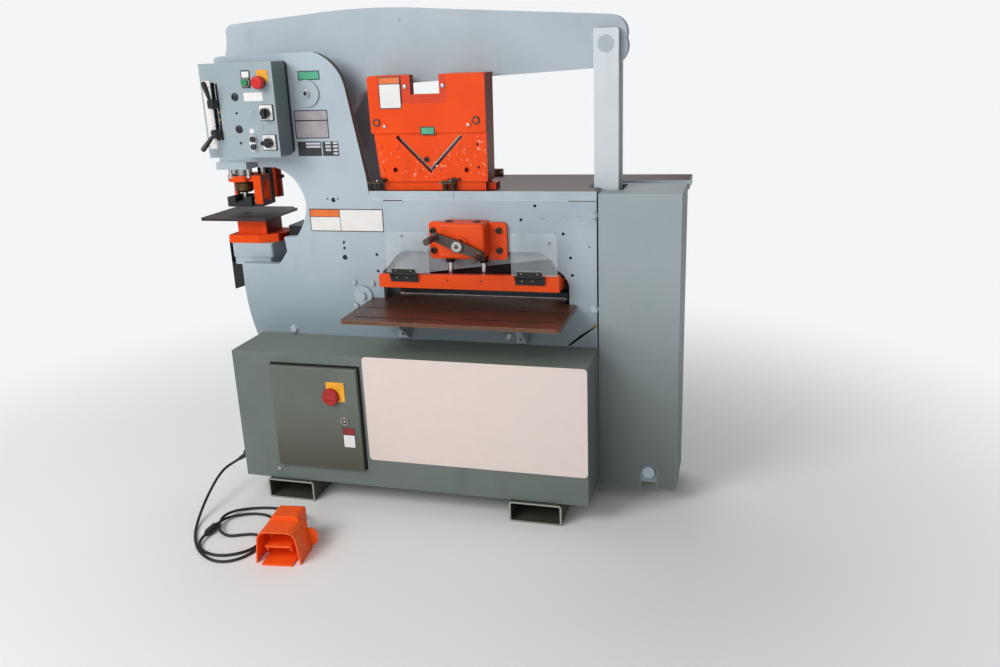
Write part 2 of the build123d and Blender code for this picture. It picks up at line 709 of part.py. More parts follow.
def punch_ram():
    half = RAM_WIDTH / 2
    ram = block(PUNCH_X - half, PUNCH_X + half, MID_Y - half, MID_Y + half, RAM_FOOT, RAM_SHOULDER)
    inner = BEAM_THICK / 2 + LINK_GAP
    outer = inner + RAM_EAR
    head = block(PUNCH_X - 36, PUNCH_X + 36, MID_Y - outer, MID_Y + outer, RAM_SHOULDER - 14, RAM_PIN_Z)
    head += rod_y(PUNCH_X, RAM_PIN_Z, 36, MID_Y - outer, MID_Y + outer)
    head -= block(PUNCH_X - 60, PUNCH_X + 60, MID_Y - inner, MID_Y + inner, RAM_SHOULDER + 6, RAM_PIN_Z + 60)
    ram += head
    # level slot that lets the beam's arc pass
    slot = rod_y(PUNCH_X - 3, RAM_PIN_Z, RAM_PIN_R + RUNNING, MID_Y - outer - 1, MID_Y + outer + 1)
    slot += rod_y(PUNCH_X + 3, RAM_PIN_Z, RAM_PIN_R + RUNNING, MID_Y - outer - 1, MID_Y + outer + 1)
    slot += block(PUNCH_X - 3, PUNCH_X + 3, MID_Y - outer - 1, MID_Y + outer + 1,
                  RAM_PIN_Z - RAM_PIN_R - RUNNING, RAM_PIN_Z + RAM_PIN_R + RUNNING)
    ram -= slot
    # round collar and the spigot that the coupling nut screws on
    ram += rod_z(PUNCH_X, MID_Y, COLLAR_R, NUT_TOP + 1, RAM_FOOT + 1)
    ram += rod_z(PUNCH_X, MID_Y, SPIGOT_R, SPIGOT_FOOT, NUT_TOP + 2)
    ram -= rod_z(PUNCH_X, MID_Y, SOCKET_R, SPIGOT_FOOT - 1, NUT_TOP + 2)
    return ram


def coupling_nut():
    nut = rod_z(PUNCH_X, MID_Y, NUT_R, NUT_FOOT, NUT_SHOULDER)
    nut = chamfer(nut.faces().sort_by(Axis.Z)[0].edges(), 8)
    nut += rod_z(PUNCH_X, MID_Y, NUT_NECK_R, NUT_SHOULDER - 1, NUT_TOP)
    nut -= rod_z(PUNCH_X, MID_Y, SPIGOT_R + RUNNING, SPIGOT_FOOT - 1, NUT_TOP + 1)
    nut -= rod_z(PUNCH_X, MID_Y, PUNCH_SHANK_R + 0.2, NUT_FOOT - 1, SPIGOT_FOOT)
    return nut


def punch():
    body = rod_z(PUNCH_X, MID_Y, PUNCH_R, PUNCH_TIP_Z, PUNCH_SHOULDER + 1)
    body += rod_z(PUNCH_X, MID_Y, PUNCH_SHANK_R, PUNCH_SHOULDER, SPIGOT_FOOT)
    body += rod_z(PUNCH_X, MID_Y, PUNCH_HEAD_R, SPIGOT_FOOT - 0.7, NUT_TOP + 1)
    return body


def die():
    z0 = TABLE_TOP - 34
    body = rod_z(PUNCH_X, MID_Y, DIE_R, z0, TABLE_TOP)
    body -= rod_z(PUNCH_X, MID_Y, DIE_BORE_R, TABLE_TOP - 8, TABLE_TOP + 1)
    body -= rod_z(PUNCH_X, MID_Y, DIE_BORE_R + 2.5, z0 - 1, TABLE_TOP - 7.9)
    return body


def die_holder():
    y0 = 84
    y1 = 2 * MID_Y - y0
    top = TABLE_TOP - TABLE_THICK
    foot = Pos(0, 0, PEDESTAL_TOP) * extrude(make_face(Polyline(
        (-728, 64), (-612, 64), (-552, 98), (-536, 124), (-536, 214), (-728, 214), (-728, 64))),
        HOLDER_FOOT_TOP - PEDESTAL_TOP)
    body = block(-700, -588, y0, y1, HOLDER_FOOT_TOP - 1, top)
    body += rod_z(PUNCH_X, MID_Y, DIE_R + 9, HOLDER_FOOT_TOP - 1, top)
    body += block(-700, -588, MID_Y - 34, MID_Y + 34, HOLDER_FOOT_TOP - 1, top)
    holder = foot + body
    holder -= rod_z(PUNCH_X, MID_Y, DIE_R + PIN_CLEARANCE, TABLE_TOP - 34, top + 1)
    holder -= rod_z(PUNCH_X, MID_Y, SLUG_R, PEDESTAL_TOP - 1, TABLE_TOP - 33.9)
    return holder


def die_pedestal():
    y0 = PEDESTAL_FRONT
    y1 = FRAME_WIDTH - PEDESTAL_FRONT
    tier_z = PEDESTAL_TOP - 50
    upper = block(-720, -562, y0, y1, tier_z, PEDESTAL_TOP)
    upper = fillet(upper.edges().filter_by(Axis.Z), 9)
    lower = block(-717, -572, y0 + 3, y1 - 3, PEDESTAL_TOP - 77, tier_z)
    lower = fillet(lower.edges().filter_by(Axis.Z), 8)
    base = upper + lower
    base -= rod_z(PUNCH_X, MID_Y, SLUG_R, PEDESTAL_TOP - 78, PEDESTAL_TOP + 1)
    return base


def punch_table():
    z0 = TABLE_TOP - TABLE_THICK
    table = block(TABLE_LEFT, TABLE_RIGHT, TABLE_FRONT, TABLE_BACK, z0, TABLE_TOP)
    table = fillet(table.edges().filter_by(Axis.Z), 10)
    table -= rod_z(PUNCH_X, MID_Y, DIE_R + 1, z0 - 1, TABLE_TOP + 1)
    # corner cut clear of the frame's rear plate
    table -= block(TABLE_RIGHT - TABLE_CORNER, TABLE_RIGHT + 1, TABLE_BACK - TABLE_CORNER + 2, TABLE_BACK + 1,
                   z0 - 1, TABLE_TOP + 1)
    return table


def stripper_arm():
    z0 = STRIPPER_RING_Z
    z1 = z0 + STRIPPER_RING_THICK
    right = PUNCH_X + STRIPPER_ARM_REACH
    ring = rod_z(PUNCH_X, MID_Y, STRIPPER_RING_R, z0, z1)
    ring += block(PUNCH_X, right, MID_Y - 34, MID_Y + 34, z0, z1)
    ring -= rod_z(PUNCH_X, MID_Y, STRIPPER_RING_BORE, z0 - 1, z1 + 1)
    # legs down to the stripper block
    leg_z = STRIPPER_BOTTOM + STRIPPER_THICK
    for y in (MID_Y - 34, MID_Y + 18):
        ring += block(PUNCH_X + STRIPPER_LEG, right, y, y + 16, leg_z - 26, z0 + 1)
    ring += block(PUNCH_X - 47, PUNCH_X - 37, MID_Y + 8, MID_Y + 26, leg_z, z0 + 1)
    # round post behind, which the arm swings on, and the elbow that reaches it behind the back plate
    elbow = BACK_PLATE_FRONT + BACK_PLATE_THICK + 2
    ring += block(PUNCH_X - 8, PUNCH_X + 26, MID_Y + 46, elbow + 16, z0, z1)
    ring += block(PUNCH_X - 8, POST_X, elbow, elbow + 16, z0, z1)
    ring += rod_z(POST_X, POST_Y, POST_R, POST_FOOT, POST_TOP)
    # hangers up to the ram guide
    for dx, dy in ((-41, 34), (42, -34), (62, 28), (-20, -46)):
        ring += rod_z(PUNCH_X + dx, MID_Y + dy, HANGER_R, z0 + 10, GUIDE_BOTTOM)
    return ring


def stripper_plate():
    z0 = STRIPPER_BOTTOM
    z1 = z0 + STRIPPER_THICK
    wide = STRIPPER_HALF_WIDTH
    deep = STRIPPER_HALF_DEPTH
    pocket = STRIPPER_POCKET
    plate = block(PUNCH_X - wide, PUNCH_X + wide, MID_Y - deep, MID_Y + deep, z0, z1)
    plate -= rod_z(PUNCH_X, MID_Y, PUNCH_R + 1.5, z0 - 1, z1 + 1)
    # pocket that the coupling nut comes down into, with a notch in its front wall
    floor = z0 + STRIPPER_FLOOR
    plate -= block(PUNCH_X - pocket, PUNCH_X + pocket, MID_Y - pocket, MID_Y + pocket, floor, z1 + 1)
    plate -= block(PUNCH_X - STRIPPER_NOTCH, PUNCH_X + STRIPPER_NOTCH, MID_Y - deep - 1, MID_Y, floor, z1 + 1)
    plate += block(PUNCH_X + wide - 1, PUNCH_X + STRIPPER_ARM_REACH, MID_Y - 14, MID_Y + 14, z0 + 4, z0 + 18)
    plate += block(PUNCH_X + wide + 2, PUNCH_X + STRIPPER_ARM_REACH, MID_Y - 34, MID_Y + 34, z0, z0 + 8)
    # back plate beside the ring, which keeps the block from turning
    left = PUNCH_X + BACK_PLATE_LEFT
    back = BACK_PLATE_FRONT + BACK_PLATE_THICK
    plate += block(left, PUNCH_X + wide, MID_Y + deep - 1, back, z0, z1)
    plate += block(left, PUNCH_X + BACK_PLATE_RIGHT, BACK_PLATE_FRONT, back, z0, POST_TOP)
    return plate


def slug_chute():
    wall = 3
    x0 = PUNCH_X - 62
    x1 = -650.3
    top = PEDESTAL_TOP - 77
    chute = block(x0, x1, 96, 184, 656, top)
    chute -= block(x0 + wall, x1 - wall, 96 + wall, 184 - wall, 660, top + 1)
    chute += block(x0, x0 + wall, 96, 184, top - 1, PEDESTAL_TOP + 2)
    wedge = profile((x0 - 1, 655), (x1 + 1, 655), (x1 + 1, 688))
    chute -= slab(wedge, 90, 190)
    return chute


# angle shear
def angle_slot(width, y0, y1, reach=0.0):
    """The angle-shaped opening: two legs at 45 degrees that meet at the apex."""
    x, z = ANGLE_APEX
    leg = ANGLE_LEG + reach
    half = width / math.sqrt(2)
    step = leg / math.sqrt(2)
    outline = profile(
        (x, z - half),
        (x + step + half / 2, z + step - half / 2),
        (x + step - half / 2, z + step + half / 2),
        (x, z + half),
        (x - step + half / 2, z + step + half / 2),
        (x - step - half / 2, z + step - half / 2),
    )
    return slab(outline, y0, y1)


SLIDE_FRONT = HOUSING_FRONT + 28
SLIDE_BACK = SLIDE_FRONT + BLADE_SLIDE_THICK


def angle_housing():
    lean_right = HOUSING_RIGHT - HOUSING_LEAN
    body = slab(profile(
        (HOUSING_LEFT, HOUSING_FOOT_TOP), (lean_right, HOUSING_FOOT_TOP), (HOUSING_RIGHT, HOUSING_TOP),
        (HOUSING_LEFT - 13, HOUSING_TOP), (HOUSING_LEFT - 13, COVER_BOTTOM)), HOUSING_FRONT, HOUSING_BACK)
    cover = slab(profile(
        (COVER_LEFT + 3, COVER_BOTTOM), (HOUSING_RIGHT - 2, COVER_BOTTOM), (HOUSING_RIGHT, HOUSING_TOP),
        (COVER_LEFT, HOUSING_TOP)), COVER_FRONT, HOUSING_FRONT + 1)
    cover = fillet(cover.edges().filter_by(Axis.Y).group_by(Axis.Z)[-1], COVER_CORNER)
    foot = block(HOUSING_FOOT_LEFT, HOUSING_FOOT_RIGHT, HOUSING_FOOT_FRONT, HOUSING_BACK,
                 DECK_TOP, HOUSING_FOOT_TOP + 1)
    flange = block(HOUSING_FOOT_RIGHT - 1, HOUSING_RIGHT + 12, HOUSING_BACK - 50, HOUSING_BACK,
                   DECK_TOP, DECK_TOP + 20)
    housing = body + cover + foot + flange
    # guideway for the moving blade, open at the top
    way_front = SLIDE_FRONT - RUNNING
    way_back = SLIDE_BACK + RUNNING
    housing -= block(-66, 198, way_front, way_back, DECK_TOP + 24, HOUSING_TOP + 1)
    # window through the top of both walls, and the shallow recess round it
    housing -= block(WINDOW_LEFT, WINDOW_RIGHT, COVER_FRONT - 1, SLIDE_FRONT, WINDOW_FOOT, HOUSING_TOP + 1)
    housing -= block(WINDOW_LEFT - 42, WINDOW_RIGHT + 13, SLIDE_BACK, HOUSING_BACK + 1,
                     WINDOW_FOOT - 10, HOUSING_TOP + 1)
    housing -= block(RECESS_LEFT, RECESS_RIGHT, COVER_FRONT - 1, COVER_FRONT + RECESS_DEPTH,
                     RECESS_FOOT, HOUSING_TOP + 1)
    # way for the drive pin through the back wall
    housing -= block(DRIVE_PIN[0] - 22, DRIVE_PIN[0] + 22, SLIDE_BACK, HOUSING_BACK + 1,
                     DRIVE_PIN[1] - 20, HOUSING_TOP + 1)
    housing -= angle_slot(ANGLE_GAP, COVER_FRONT - 1, HOUSING_BACK + 1)
    for x, z in ((-57, 1094), (183, 1093)):
        housing -= rod_y(x, z, 8, HOUSING_FRONT - 1, HOUSING_FRONT + 20)
    return housing


def angle_blade():
    blade = block(-65, 197, SLIDE_FRONT, SLIDE_BACK, DECK_TOP + 26, BLADE_SLIDE_TOP)
    blade -= angle_slot(ANGLE_GAP + 2, SLIDE_FRONT - 1, SLIDE_BACK + 1)
    x, z = DRIVE_PIN
    r = DRIVE_PIN_R + RUNNING
    blade -= rod_y(x - 4, z, r, SLIDE_FRONT - 1, SLIDE_BACK + 1)
    blade -= rod_y(x + 4, z, r, SLIDE_FRONT - 1, SLIDE_BACK + 1)
    blade -= block(x - 4, x + 4, SLIDE_FRONT - 1, SLIDE_BACK + 1, z - r, z + r)
    return blade


def housing_clamps():
    """Two bridge clamps on the deck's front edge, each with a nut and a pointed set screw."""
    clamps = []
    top = DECK_TOP + CLAMP_HEIGHT
    y0 = CLAMP_Y - CLAMP_DEPTH / 2
    y1 = CLAMP_Y + CLAMP_DEPTH / 2
    for x in CLAMP_PLACES:
        clamp = block(x - CLAMP_WIDTH / 2, x + CLAMP_WIDTH / 2, y0, y1, top - 6, top)
        for leg in (-17, 15):
            clamp += rod_z(x + leg, CLAMP_Y, 5, DECK_TOP, top - 5)
        clamp += Pos(x + 15, CLAMP_Y, top) * extrude(RegularPolygon(6, 6), 10)
        clamp += rod_x(CLAMP_Y, top + 5, 3, x + 15, x + 34)
        clamp += Pos(x + 38, CLAMP_Y, top + 5) * Rot(0, 90, 0) * Cone(5, 0.5, 9)
        clamps.append(clamp)
    return group(clamps)


# flat shear
def upper_blade():
    outline = profile(
        (SHEAR_LEFT, 677), (SHEAR_RIGHT, 705), (SHEAR_RIGHT, 850), (SHEAR_LEFT, 850))
    return slab(outline, SHEAR_PLANE - BLADE_THICK, SHEAR_PLANE)


def lower_blade():
    outline = profile(
        (SHEAR_LEFT, 666), (SHEAR_LEFT, 566), (SHEAR_RIGHT, 545), (SHEAR_RIGHT, 645))
    return slab(outline, SHEAR_PLANE + RUNNING, BEAM_FRONT)


def shear_table():
    z0 = SHEAR_TABLE_TOP - SHEAR_TABLE_THICK
    table = block(SHEAR_TABLE_LEFT, SHEAR_TABLE_RIGHT, SHEAR_TABLE_FRONT, -0.3, z0, SHEAR_TABLE_TOP)
    table = fillet(table.edges().filter_by(Axis.Z), 12)
    table += block(SHEAR_LEFT - 18, SHEAR_RIGHT + 2, -20, SHEAR_PLANE - BLADE_THICK - 1, z0, SHEAR_TABLE_TOP)
    for x0, x1, y in ((-135, 165, -226), (205, 500, -206), (-140, 150, -118), (203, 490, -96)):
        table -= block(x0, x1, y - 4, y + 4, z0 - 1, SHEAR_TABLE_TOP + 1)
    return table


def table_brackets():
    brackets = []
    top = SHEAR_TABLE_TOP - SHEAR_TABLE_THICK
    for x in (-44, 366):
        foot = block(x - 36, x + 8, -8, 0, 535, top)
        web = wall(profile((0, 535), (-8, 535), (-190, top), (0, top)), x, x + 8)
        foot -= rod_y(x - 20, 547, 5, -9, 1)
        brackets.append(foot + web)
    return group(brackets)


def hold_down_bar():
    z0 = BAR_TOP - BAR_HEIGHT
    face = profile((BAR_LEFT, z0), (BAR_RIGHT, z0 + 3), (BAR_RIGHT, BAR_TOP + 4), (BAR_LEFT, BAR_TOP - 6))
    bar = slab(face, BAR_FRONT, BAR_FRONT + BAR_WALL)
    web_back = SHEAR_PLANE - BLADE_THICK - 4
    bar += block(BAR_LEFT, BAR_RIGHT, BAR_FRONT, web_back, z0, z0 + 14)
    bar += wall(bar_end_outline(BAR_TOP - 6), BAR_LEFT, BAR_LEFT + 18)
    bar += wall(bar_end_outline(BAR_TOP + 4), BAR_RIGHT - 18, BAR_RIGHT)
    for left in (GUARD_LEFT_X, GUARD_RIGHT_X):
        bar += bar_hinge(left)
    for sign in (-1, 1):
        bar += rod_z(CRANK_AXIS[0] + 4 + sign * ROD_SPREAD / 2, -20, HOLD_ROD_R, z0 + 10, 900)
    return bar


def bar_end_outline(top):
    """End wall of the hold-down bar: curved top edge, front to back."""
    z0 = BAR_TOP - BAR_HEIGHT
    back = SHEAR_PLANE - BLADE_THICK - 4
    return profile(
        (BAR_FRONT, z0),
        (back, z0),
        (back, z0 + 16),
        ((-2.0, z0 + 27), (BAR_FRONT + 20, top)),
        (BAR_FRONT, top),
    )


def hold_down_gearbox():
    body = block(104, 256, GEARBOX_FRONT, -0.3, 826, 938)
    body = fillet(body.edges().filter_by(Axis.Y), 12)
    body = fillet(body.faces().sort_by(Axis.Y)[0].edges(), 9)
    flange = block(54, 312, -14, -0.3, 812, 932)
    flange = fillet(flange.edges().filter_by(Axis.Y), 12)
    boss = rod_y(*CRANK_AXIS, GEARBOX_BOSS_R, GEARBOX_FRONT - GEARBOX_BOSS, GEARBOX_FRONT + 10)
    box = body + flange + boss
    for sign in (-1, 1):
        box -= rod_z(CRANK_AXIS[0] + 4 + sign * ROD_SPREAD / 2, -20, HOLD_ROD_R + 0.1, 800, 905)
    box -= rod_y(*CRANK_AXIS, CRANK_SHAFT_R + PIN_CLEARANCE, GEARBOX_FRONT - GEARBOX_BOSS - 1, -20)
    return box


def hold_down_crank():
    x, z = CRANK_AXIS
    hub_back = GEARBOX_FRONT - GEARBOX_BOSS - 1.5
    middle = hub_back - 4 - CRANK_THICK / 2
    half = CRANK_THICK / 2
    tilt = math.radians(-CRANK_LEAN)
    outline = profile(
        (-CRANK_REACH, -CRANK_END_R), (0, -CRANK_WAIST), (CRANK_REACH, -CRANK_END_R),
        (CRANK_REACH, CRANK_END_R), (0, CRANK_WAIST), (-CRANK_REACH, CRANK_END_R))
    arm = slab(outline, -half, half)
    arm += rod_y(-CRANK_REACH, 0, CRANK_END_R, -half, half)
    arm += rod_y(CRANK_REACH, 0, CRANK_END_R, -half, half)
    crank = Pos(x, middle, z) * Rot(0, CRANK_LEAN, 0) * arm
    crank += rod_y(x, z, CRANK_SHAFT_R, middle, -24)
    crank += rod_y(x, z, 20, middle - half - 6, hub_back)
    for sign in (-1, 1):
        hx = x + sign * CRANK_REACH * math.cos(tilt)
        hz = z + sign * CRANK_REACH * math.sin(tilt)
        crank += rod_y(hx, hz, 7.5, middle - HANDLE_REACH, middle)
        crank += rod_y(hx, hz, 10.5, middle - HANDLE_REACH, middle - half - 16)
    return crank


GUARD_LEFT_X = -80.0
GUARD_RIGHT_X = 338.0
HINGE_LEAF = 80.0
HINGE_INSET = 18.0
HINGE_Y = BAR_FRONT - 9.0
HINGE_R = 3.6
HINGE_PIN_R = 1.8


def guard(left):
    z0 = BAR_TOP + 4
    y1 = BAR_FRONT - 2
    y0 = y1 - GUARD_THICK
    panel = block(left, left + GUARD_WIDTH, y0, y1, z0, z0 + GUARD_HEIGHT)
    panel = fillet(panel.faces().sort_by(Axis.Z)[-1].edges().filter_by(Axis.Y), 10)
    # hinge leaf on the panel and its barrel
    x0 = left + HINGE_INSET
    x1 = x0 + HINGE_LEAF
    panel += block(x0, x1, HINGE_Y - 1, y0 + 1, BAR_TOP, z0 + 16)
    panel += rod_x(HINGE_Y, BAR_TOP, HINGE_R, x0, x1)
    panel -= rod_x(HINGE_Y, BAR_TOP, HINGE_PIN_R + PIN_CLEARANCE, x0 - 1, x1 + 1)
    return panel


def bar_hinge(left):
    """The bar's half of a guard hinge: leaf, two ears and the pin."""
    x0 = left + HINGE_INSET - 8
    x1 = x0 + HINGE_LEAF + 16
    hinge = block(x0, x1, BAR_FRONT - 3, BAR_FRONT, BAR_TOP - 26, BAR_TOP - 6)
    for ear in (x0, x1 - 7.7):
        hinge += block(ear, ear + 7.7, HINGE_Y, BAR_FRONT, BAR_TOP - 12, BAR_TOP - 1)
        hinge += rod_x(HINGE_Y, BAR_TOP, HINGE_R, ear, ear + 7.7)
    hinge += rod_x(HINGE_Y, BAR_TOP, HINGE_PIN_R, x0, x1)
    return hinge


# control box
def control_box():
    x0 = CONTROL_LEFT
    x1 = x0 + CONTROL_WIDTH
    z0 = CONTROL_BOTTOM
    z1 = z0 + CONTROL_HEIGHT
    shell = block(x0, x1, CONTROL_FRONT, CONTROL_BACK, z0, z1)
    shell = fillet(shell.edges().filter_by(Axis.Y), 3)
    shell -= block(x0 + 2.5, x1 - 2.5, CONTROL_FRONT + 2.5, CONTROL_BACK + 1, z0 + 2.5, z1 - 2.5)
    back = block(x0 + 14, x1, CONTROL_BACK, 0, z0 + 4, z1)
    back = fillet(back.edges().filter_by(Axis.Y), 14)
    shell += back
    shell -= block(-619, -603, CONTROL_FRONT - 1, CONTROL_FRONT + 4, 1205, 1385)
    for x, z, r in CONTROL_HOLES:
        shell -= rod_y(x, z, r + PIN_CLEARANCE + 0.1, CONTROL_FRONT - 1, CONTROL_FRONT + 4)
    return shell


CONTROL_HOLES = [
    (-492, 1382, 8), (-440, 1381, 8), (-433, 1288, 8), (-433, 1196, 8), (-487, 1208, 6), (-487, 1184, 6),
]


def push_button(x, z, cap_r, cap_z, stem_r):
    face = CONTROL_FRONT
    button = rod_y(x, z, stem_r, face - 8, face + 18)
    button += rod_y(x, z, cap_r, face - 8 - cap_z, face - 7)
    return button


def estop_button():
    face = CONTROL_FRONT
    button = rod_y(-440, 1381, 8, face - 14, face + 18)
    button += rod_y(-440, 1381, 20, face - 30, face - 12)
    button = fillet(button.faces().sort_by(Axis.Y)[0].edges(), 6)
    return button


def rotary_switch(x, z, turned):
    face = CONTROL_FRONT
    knob = rod_y(x, z, 8, face - 6, face + 18)
    knob += rod_y(x, z, 15, face - 14, face - 5)
    grip = block(-6, 6, -12, 0, -18, 13)
    knob += Pos(x, face - 13, z) * Rot(0, turned, 0) * grip
    return knob


def stop_lever(x, z, lean, angle, length):
    face = CONTROL_FRONT
    lever = rod_y(x, z, 6, face - 22, face + 14)
    lever += rod_y(x, z, 12, face - 26, face - RUNNING)
    lever += rod_y(x, z, 14, face + 2.5 + RUNNING, face + 14)
    shaft = Pos(0, 0, length / 2) * Cone(5.0, 7.0, length)
    shaft += Pos(0, 0, length) * Sphere(7.0)
    lever += Pos(x, face - 20, z) * Rot(lean, angle, 0) * shaft
    return lever


# foot pedal, drawn from the middle of its front edge
def pedal_place(shape):
    return Pos(PEDAL_X, PEDAL_Y, 0) * Rot(0, 0, PEDAL_TURN) * shape


def hood_outline(inset):
    """Front view of the hood: leaning walls and a rounded roof."""
    foot = PEDAL_WIDTH / 2 - inset
    top = PEDAL_TOP_WIDTH / 2 - inset
    height = PEDAL_HEIGHT - inset
    corner = 26.0 - inset
    return profile(
        (-foot, 0),
        (-top - 3, height - corner),
        ((-top + corner * 0.25, height - corner * 0.3), (-top + corner, height)),
        (top - corner, height),
        ((top - corner * 0.25, height - corner * 0.3), (top + 3, height - corner)),
        (foot, 0),
    )


def pedal_housing():
    hood = slab(hood_outline(0), 0, PEDAL_HOOD)
    hood -= slab(hood_outline(PEDAL_WALL), -1, PEDAL_HOOD - PEDAL_WALL)
    rear = block(-44, 44, PEDAL_HOOD - 24, PEDAL_LENGTH, 0, PEDAL_HEIGHT + 12)
    rear = chamfer(rear.faces().sort_by(Axis.Y)[-1].edges(), 12)
    rear = fillet(rear.faces().sort_by(Axis.Z)[-1].edges().filter_by(Axis.Y), 10)
    rear -= slab(hood_outline(PEDAL_WALL), -1, PEDAL_HOOD - PEDAL_WALL)
    base = block(-PEDAL_BASE_WIDTH / 2, PEDAL_BASE_WIDTH / 2, -PEDAL_LIP, PEDAL_HOOD, 0, 6)
    base += block(-PEDAL_WIDTH / 2 + 3, PEDAL_WIDTH / 2 - 3, 60, PEDAL_HOOD, 0, 6)
    ear = block(PEDAL_TOP_WIDTH / 2 - 14, PEDAL_WIDTH / 2 + 22, 92, 97, 14, 72)
    ear = chamfer(ear.faces().sort_by(Axis.X)[-1].edges().filter_by(Axis.Y), 14)
    relief = rod_y(0, 36, 9, PEDAL_LENGTH - 2, PEDAL_LENGTH + 16)
    return pedal_place(hood + rear + base + ear + relief)


def pedal_treadle():
    plate = block(-40, 40, -78, 0, 0, 5)
    plate += block(-40, -36, -66, 4, -16, 1)
    plate += block(36, 40, -66, 4, -16, 1)
    plate += rod_x(0, 0, 3.5, -61.3, 61.3)
    plate = Pos(0, 84, 46) * Rot(-4, 0, 0) * plate
    return pedal_place(plate)


# pedal cord
def gland_tip():
    lean = math.radians(GLAND_TILT)
    x, y, z = GLAND
    return (x - GLAND_LENGTH * math.cos(lean), y, z - GLAND_LENGTH * math.sin(lean))


def cord_gland():
    x, y, z = GLAND
    nut = Pos(x, y, z) * Rot(0, -90, 0) * extrude(RegularPolygon(15, 6), 12)
    lean = Pos(x, y, z) * Rot(0, -90 - GLAND_TILT, 0)
    relief = lean * Pos(0, 0, GLAND_LENGTH / 2) * Cone(9, 6.5, GLAND_LENGTH)
    relief -= block(x, x + 60, y - 30, y + 30, z - 30, z + 30)
    return nut + relief


def cord_run(points, name):
    """Straight runs joined by arcs as large as the shorter run on each side allows."""
    vectors = [Vector(*p) for p in points]
    radii = []
    for before, corner, after in zip(vectors, vectors[1:], vectors[2:]):
        turn = (corner - before).get_angle(after - corner)
        short = min((corner - before).length, (after - corner).length)
        radii.append(0.45 * short / math.tan(math.radians(turn / 2)))
    print(name, "bend radii", [round(r) for r in radii])
    path = FilletPolyline(*vectors, radius=radii)
    start = Plane(origin=path @ 0, z_dir=path % 0)
    return sweep(start * Circle(CORD_R), path=path)


def pedal_cord():
    inlet = pedal_place(Vertex(0, PEDAL_LENGTH + 16, 36)).center()
    first = cord_run([gland_tip()] + CORD_TO_CONNECTOR + CONNECTOR_ENDS[:1], "to connector")
    second = cord_run(CONNECTOR_ENDS[1:] + CORD_TO_PEDAL + [tuple(inlet)], "to pedal")
    return group([first, second])


def cord_connector():
    a = Vector(*CONNECTOR_ENDS[0])
    b = Vector(*CONNECTOR_ENDS[1])
    length = (b - a).length
    half = length / 2
    body = Pos(0, 0, half) * Cylinder(12, length - 28)
    body += Pos(0, 0, 7) * Cone(6.5, 11, 14)
    body += Pos(0, 0, length - 7) * Cone(11, 6.5, 14)
    return Plane(origin=a, z_dir=b - a).location * body


def main():
    os.makedirs("parts", exist_ok=True)
    save("frame_front_plate", front_plate())
    save("frame_rear_plate", rear_plate())
    save("frame_spacers", spacers())
    save("deck_plate", deck_plate())
    save("fork_tubes", fork_tubes())
    save("base_box", base_box())
    save("electrical_door", electrical_door())
    save("disconnect_knob", disconnect_knob())
    save("door_lock", door_lock())
    save("end_cabinet", end_cabinet())
    save("upper_beam", upper_beam())
    save("link_bars", link_bars())
    save("beam_pins", beam_pins())
    save("lower_arm", lower_arm())
    save("arm_pins", arm_pins())
    save("pivot_pins", pivot_pins())
    save("cylinder_barrel", cylinder_barrel())
    save("cylinder_rod", cylinder_rod())
    save("motor", motor())
    save("pump", pump())
    save("oil_tank", oil_tank())
    save("valve_block", valve_block())
    save("contactor_panel", contactor_panel())
    save("ram_guide", ram_guide())
    save("punch_ram", punch_ram())
    save("coupling_nut", coupling_nut())
    save("punch", punch())
    save("die", die())
    save("die_holder", die_holder())
    save("die_pedestal", die_pedestal())
    save("punch_table", punch_table())
    save("stripper_arm", stripper_arm())
    save("stripper_plate", stripper_plate())
    save("slug_chute", slug_chute())
    save("angle_housing", angle_housing())
    save("angle_blade", angle_blade())
    save("housing_clamps", housing_clamps())
    save("upper_blade", upper_blade())
    save("lower_blade", lower_blade())
    save("shear_table", shear_table())
    save("table_brackets", table_brackets())
    save("hold_down_bar", hold_down_bar())
    save("hold_down_gearbox", hold_down_gearbox())
    save("hold_down_crank", hold_down_crank())
    save("guard_left", guard(GUARD_LEFT_X))
    save("guard_right", guard(GUARD_RIGHT_X))
    save("control_box", control_box())
    save("start_button", push_button(-492, 1382, 11, 5, 8))
    save("jog_up_button", push_button(-487, 1208, 9, 4, 6))
    save("jog_down_button", push_button(-487, 1184, 9, 4, 6))
    save("estop_button", estop_button())
    save("pump_switch", rotary_switch(-433, 1288, 0))
    save("mode_switch", rotary_switch(-433, 1196, 90))
    save("stop_lever_upper", stop_lever(-611, 1324, 18, -22, 72))
    save("stop_lever_lower", stop_lever(-611, 1229, -18, 222, 92))
    save("pedal_housing", pedal_housing())
    save("pedal_treadle", pedal_treadle())
    save("cord_gland", cord_gland())
    save("pedal_cord", pedal_cord())
    save("cord_connector", cord_connector())


main()
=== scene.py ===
from math import cos, pi, radians, sin, tau

import bmesh
import bpy
from mathutils import Euler, Matrix, Vector


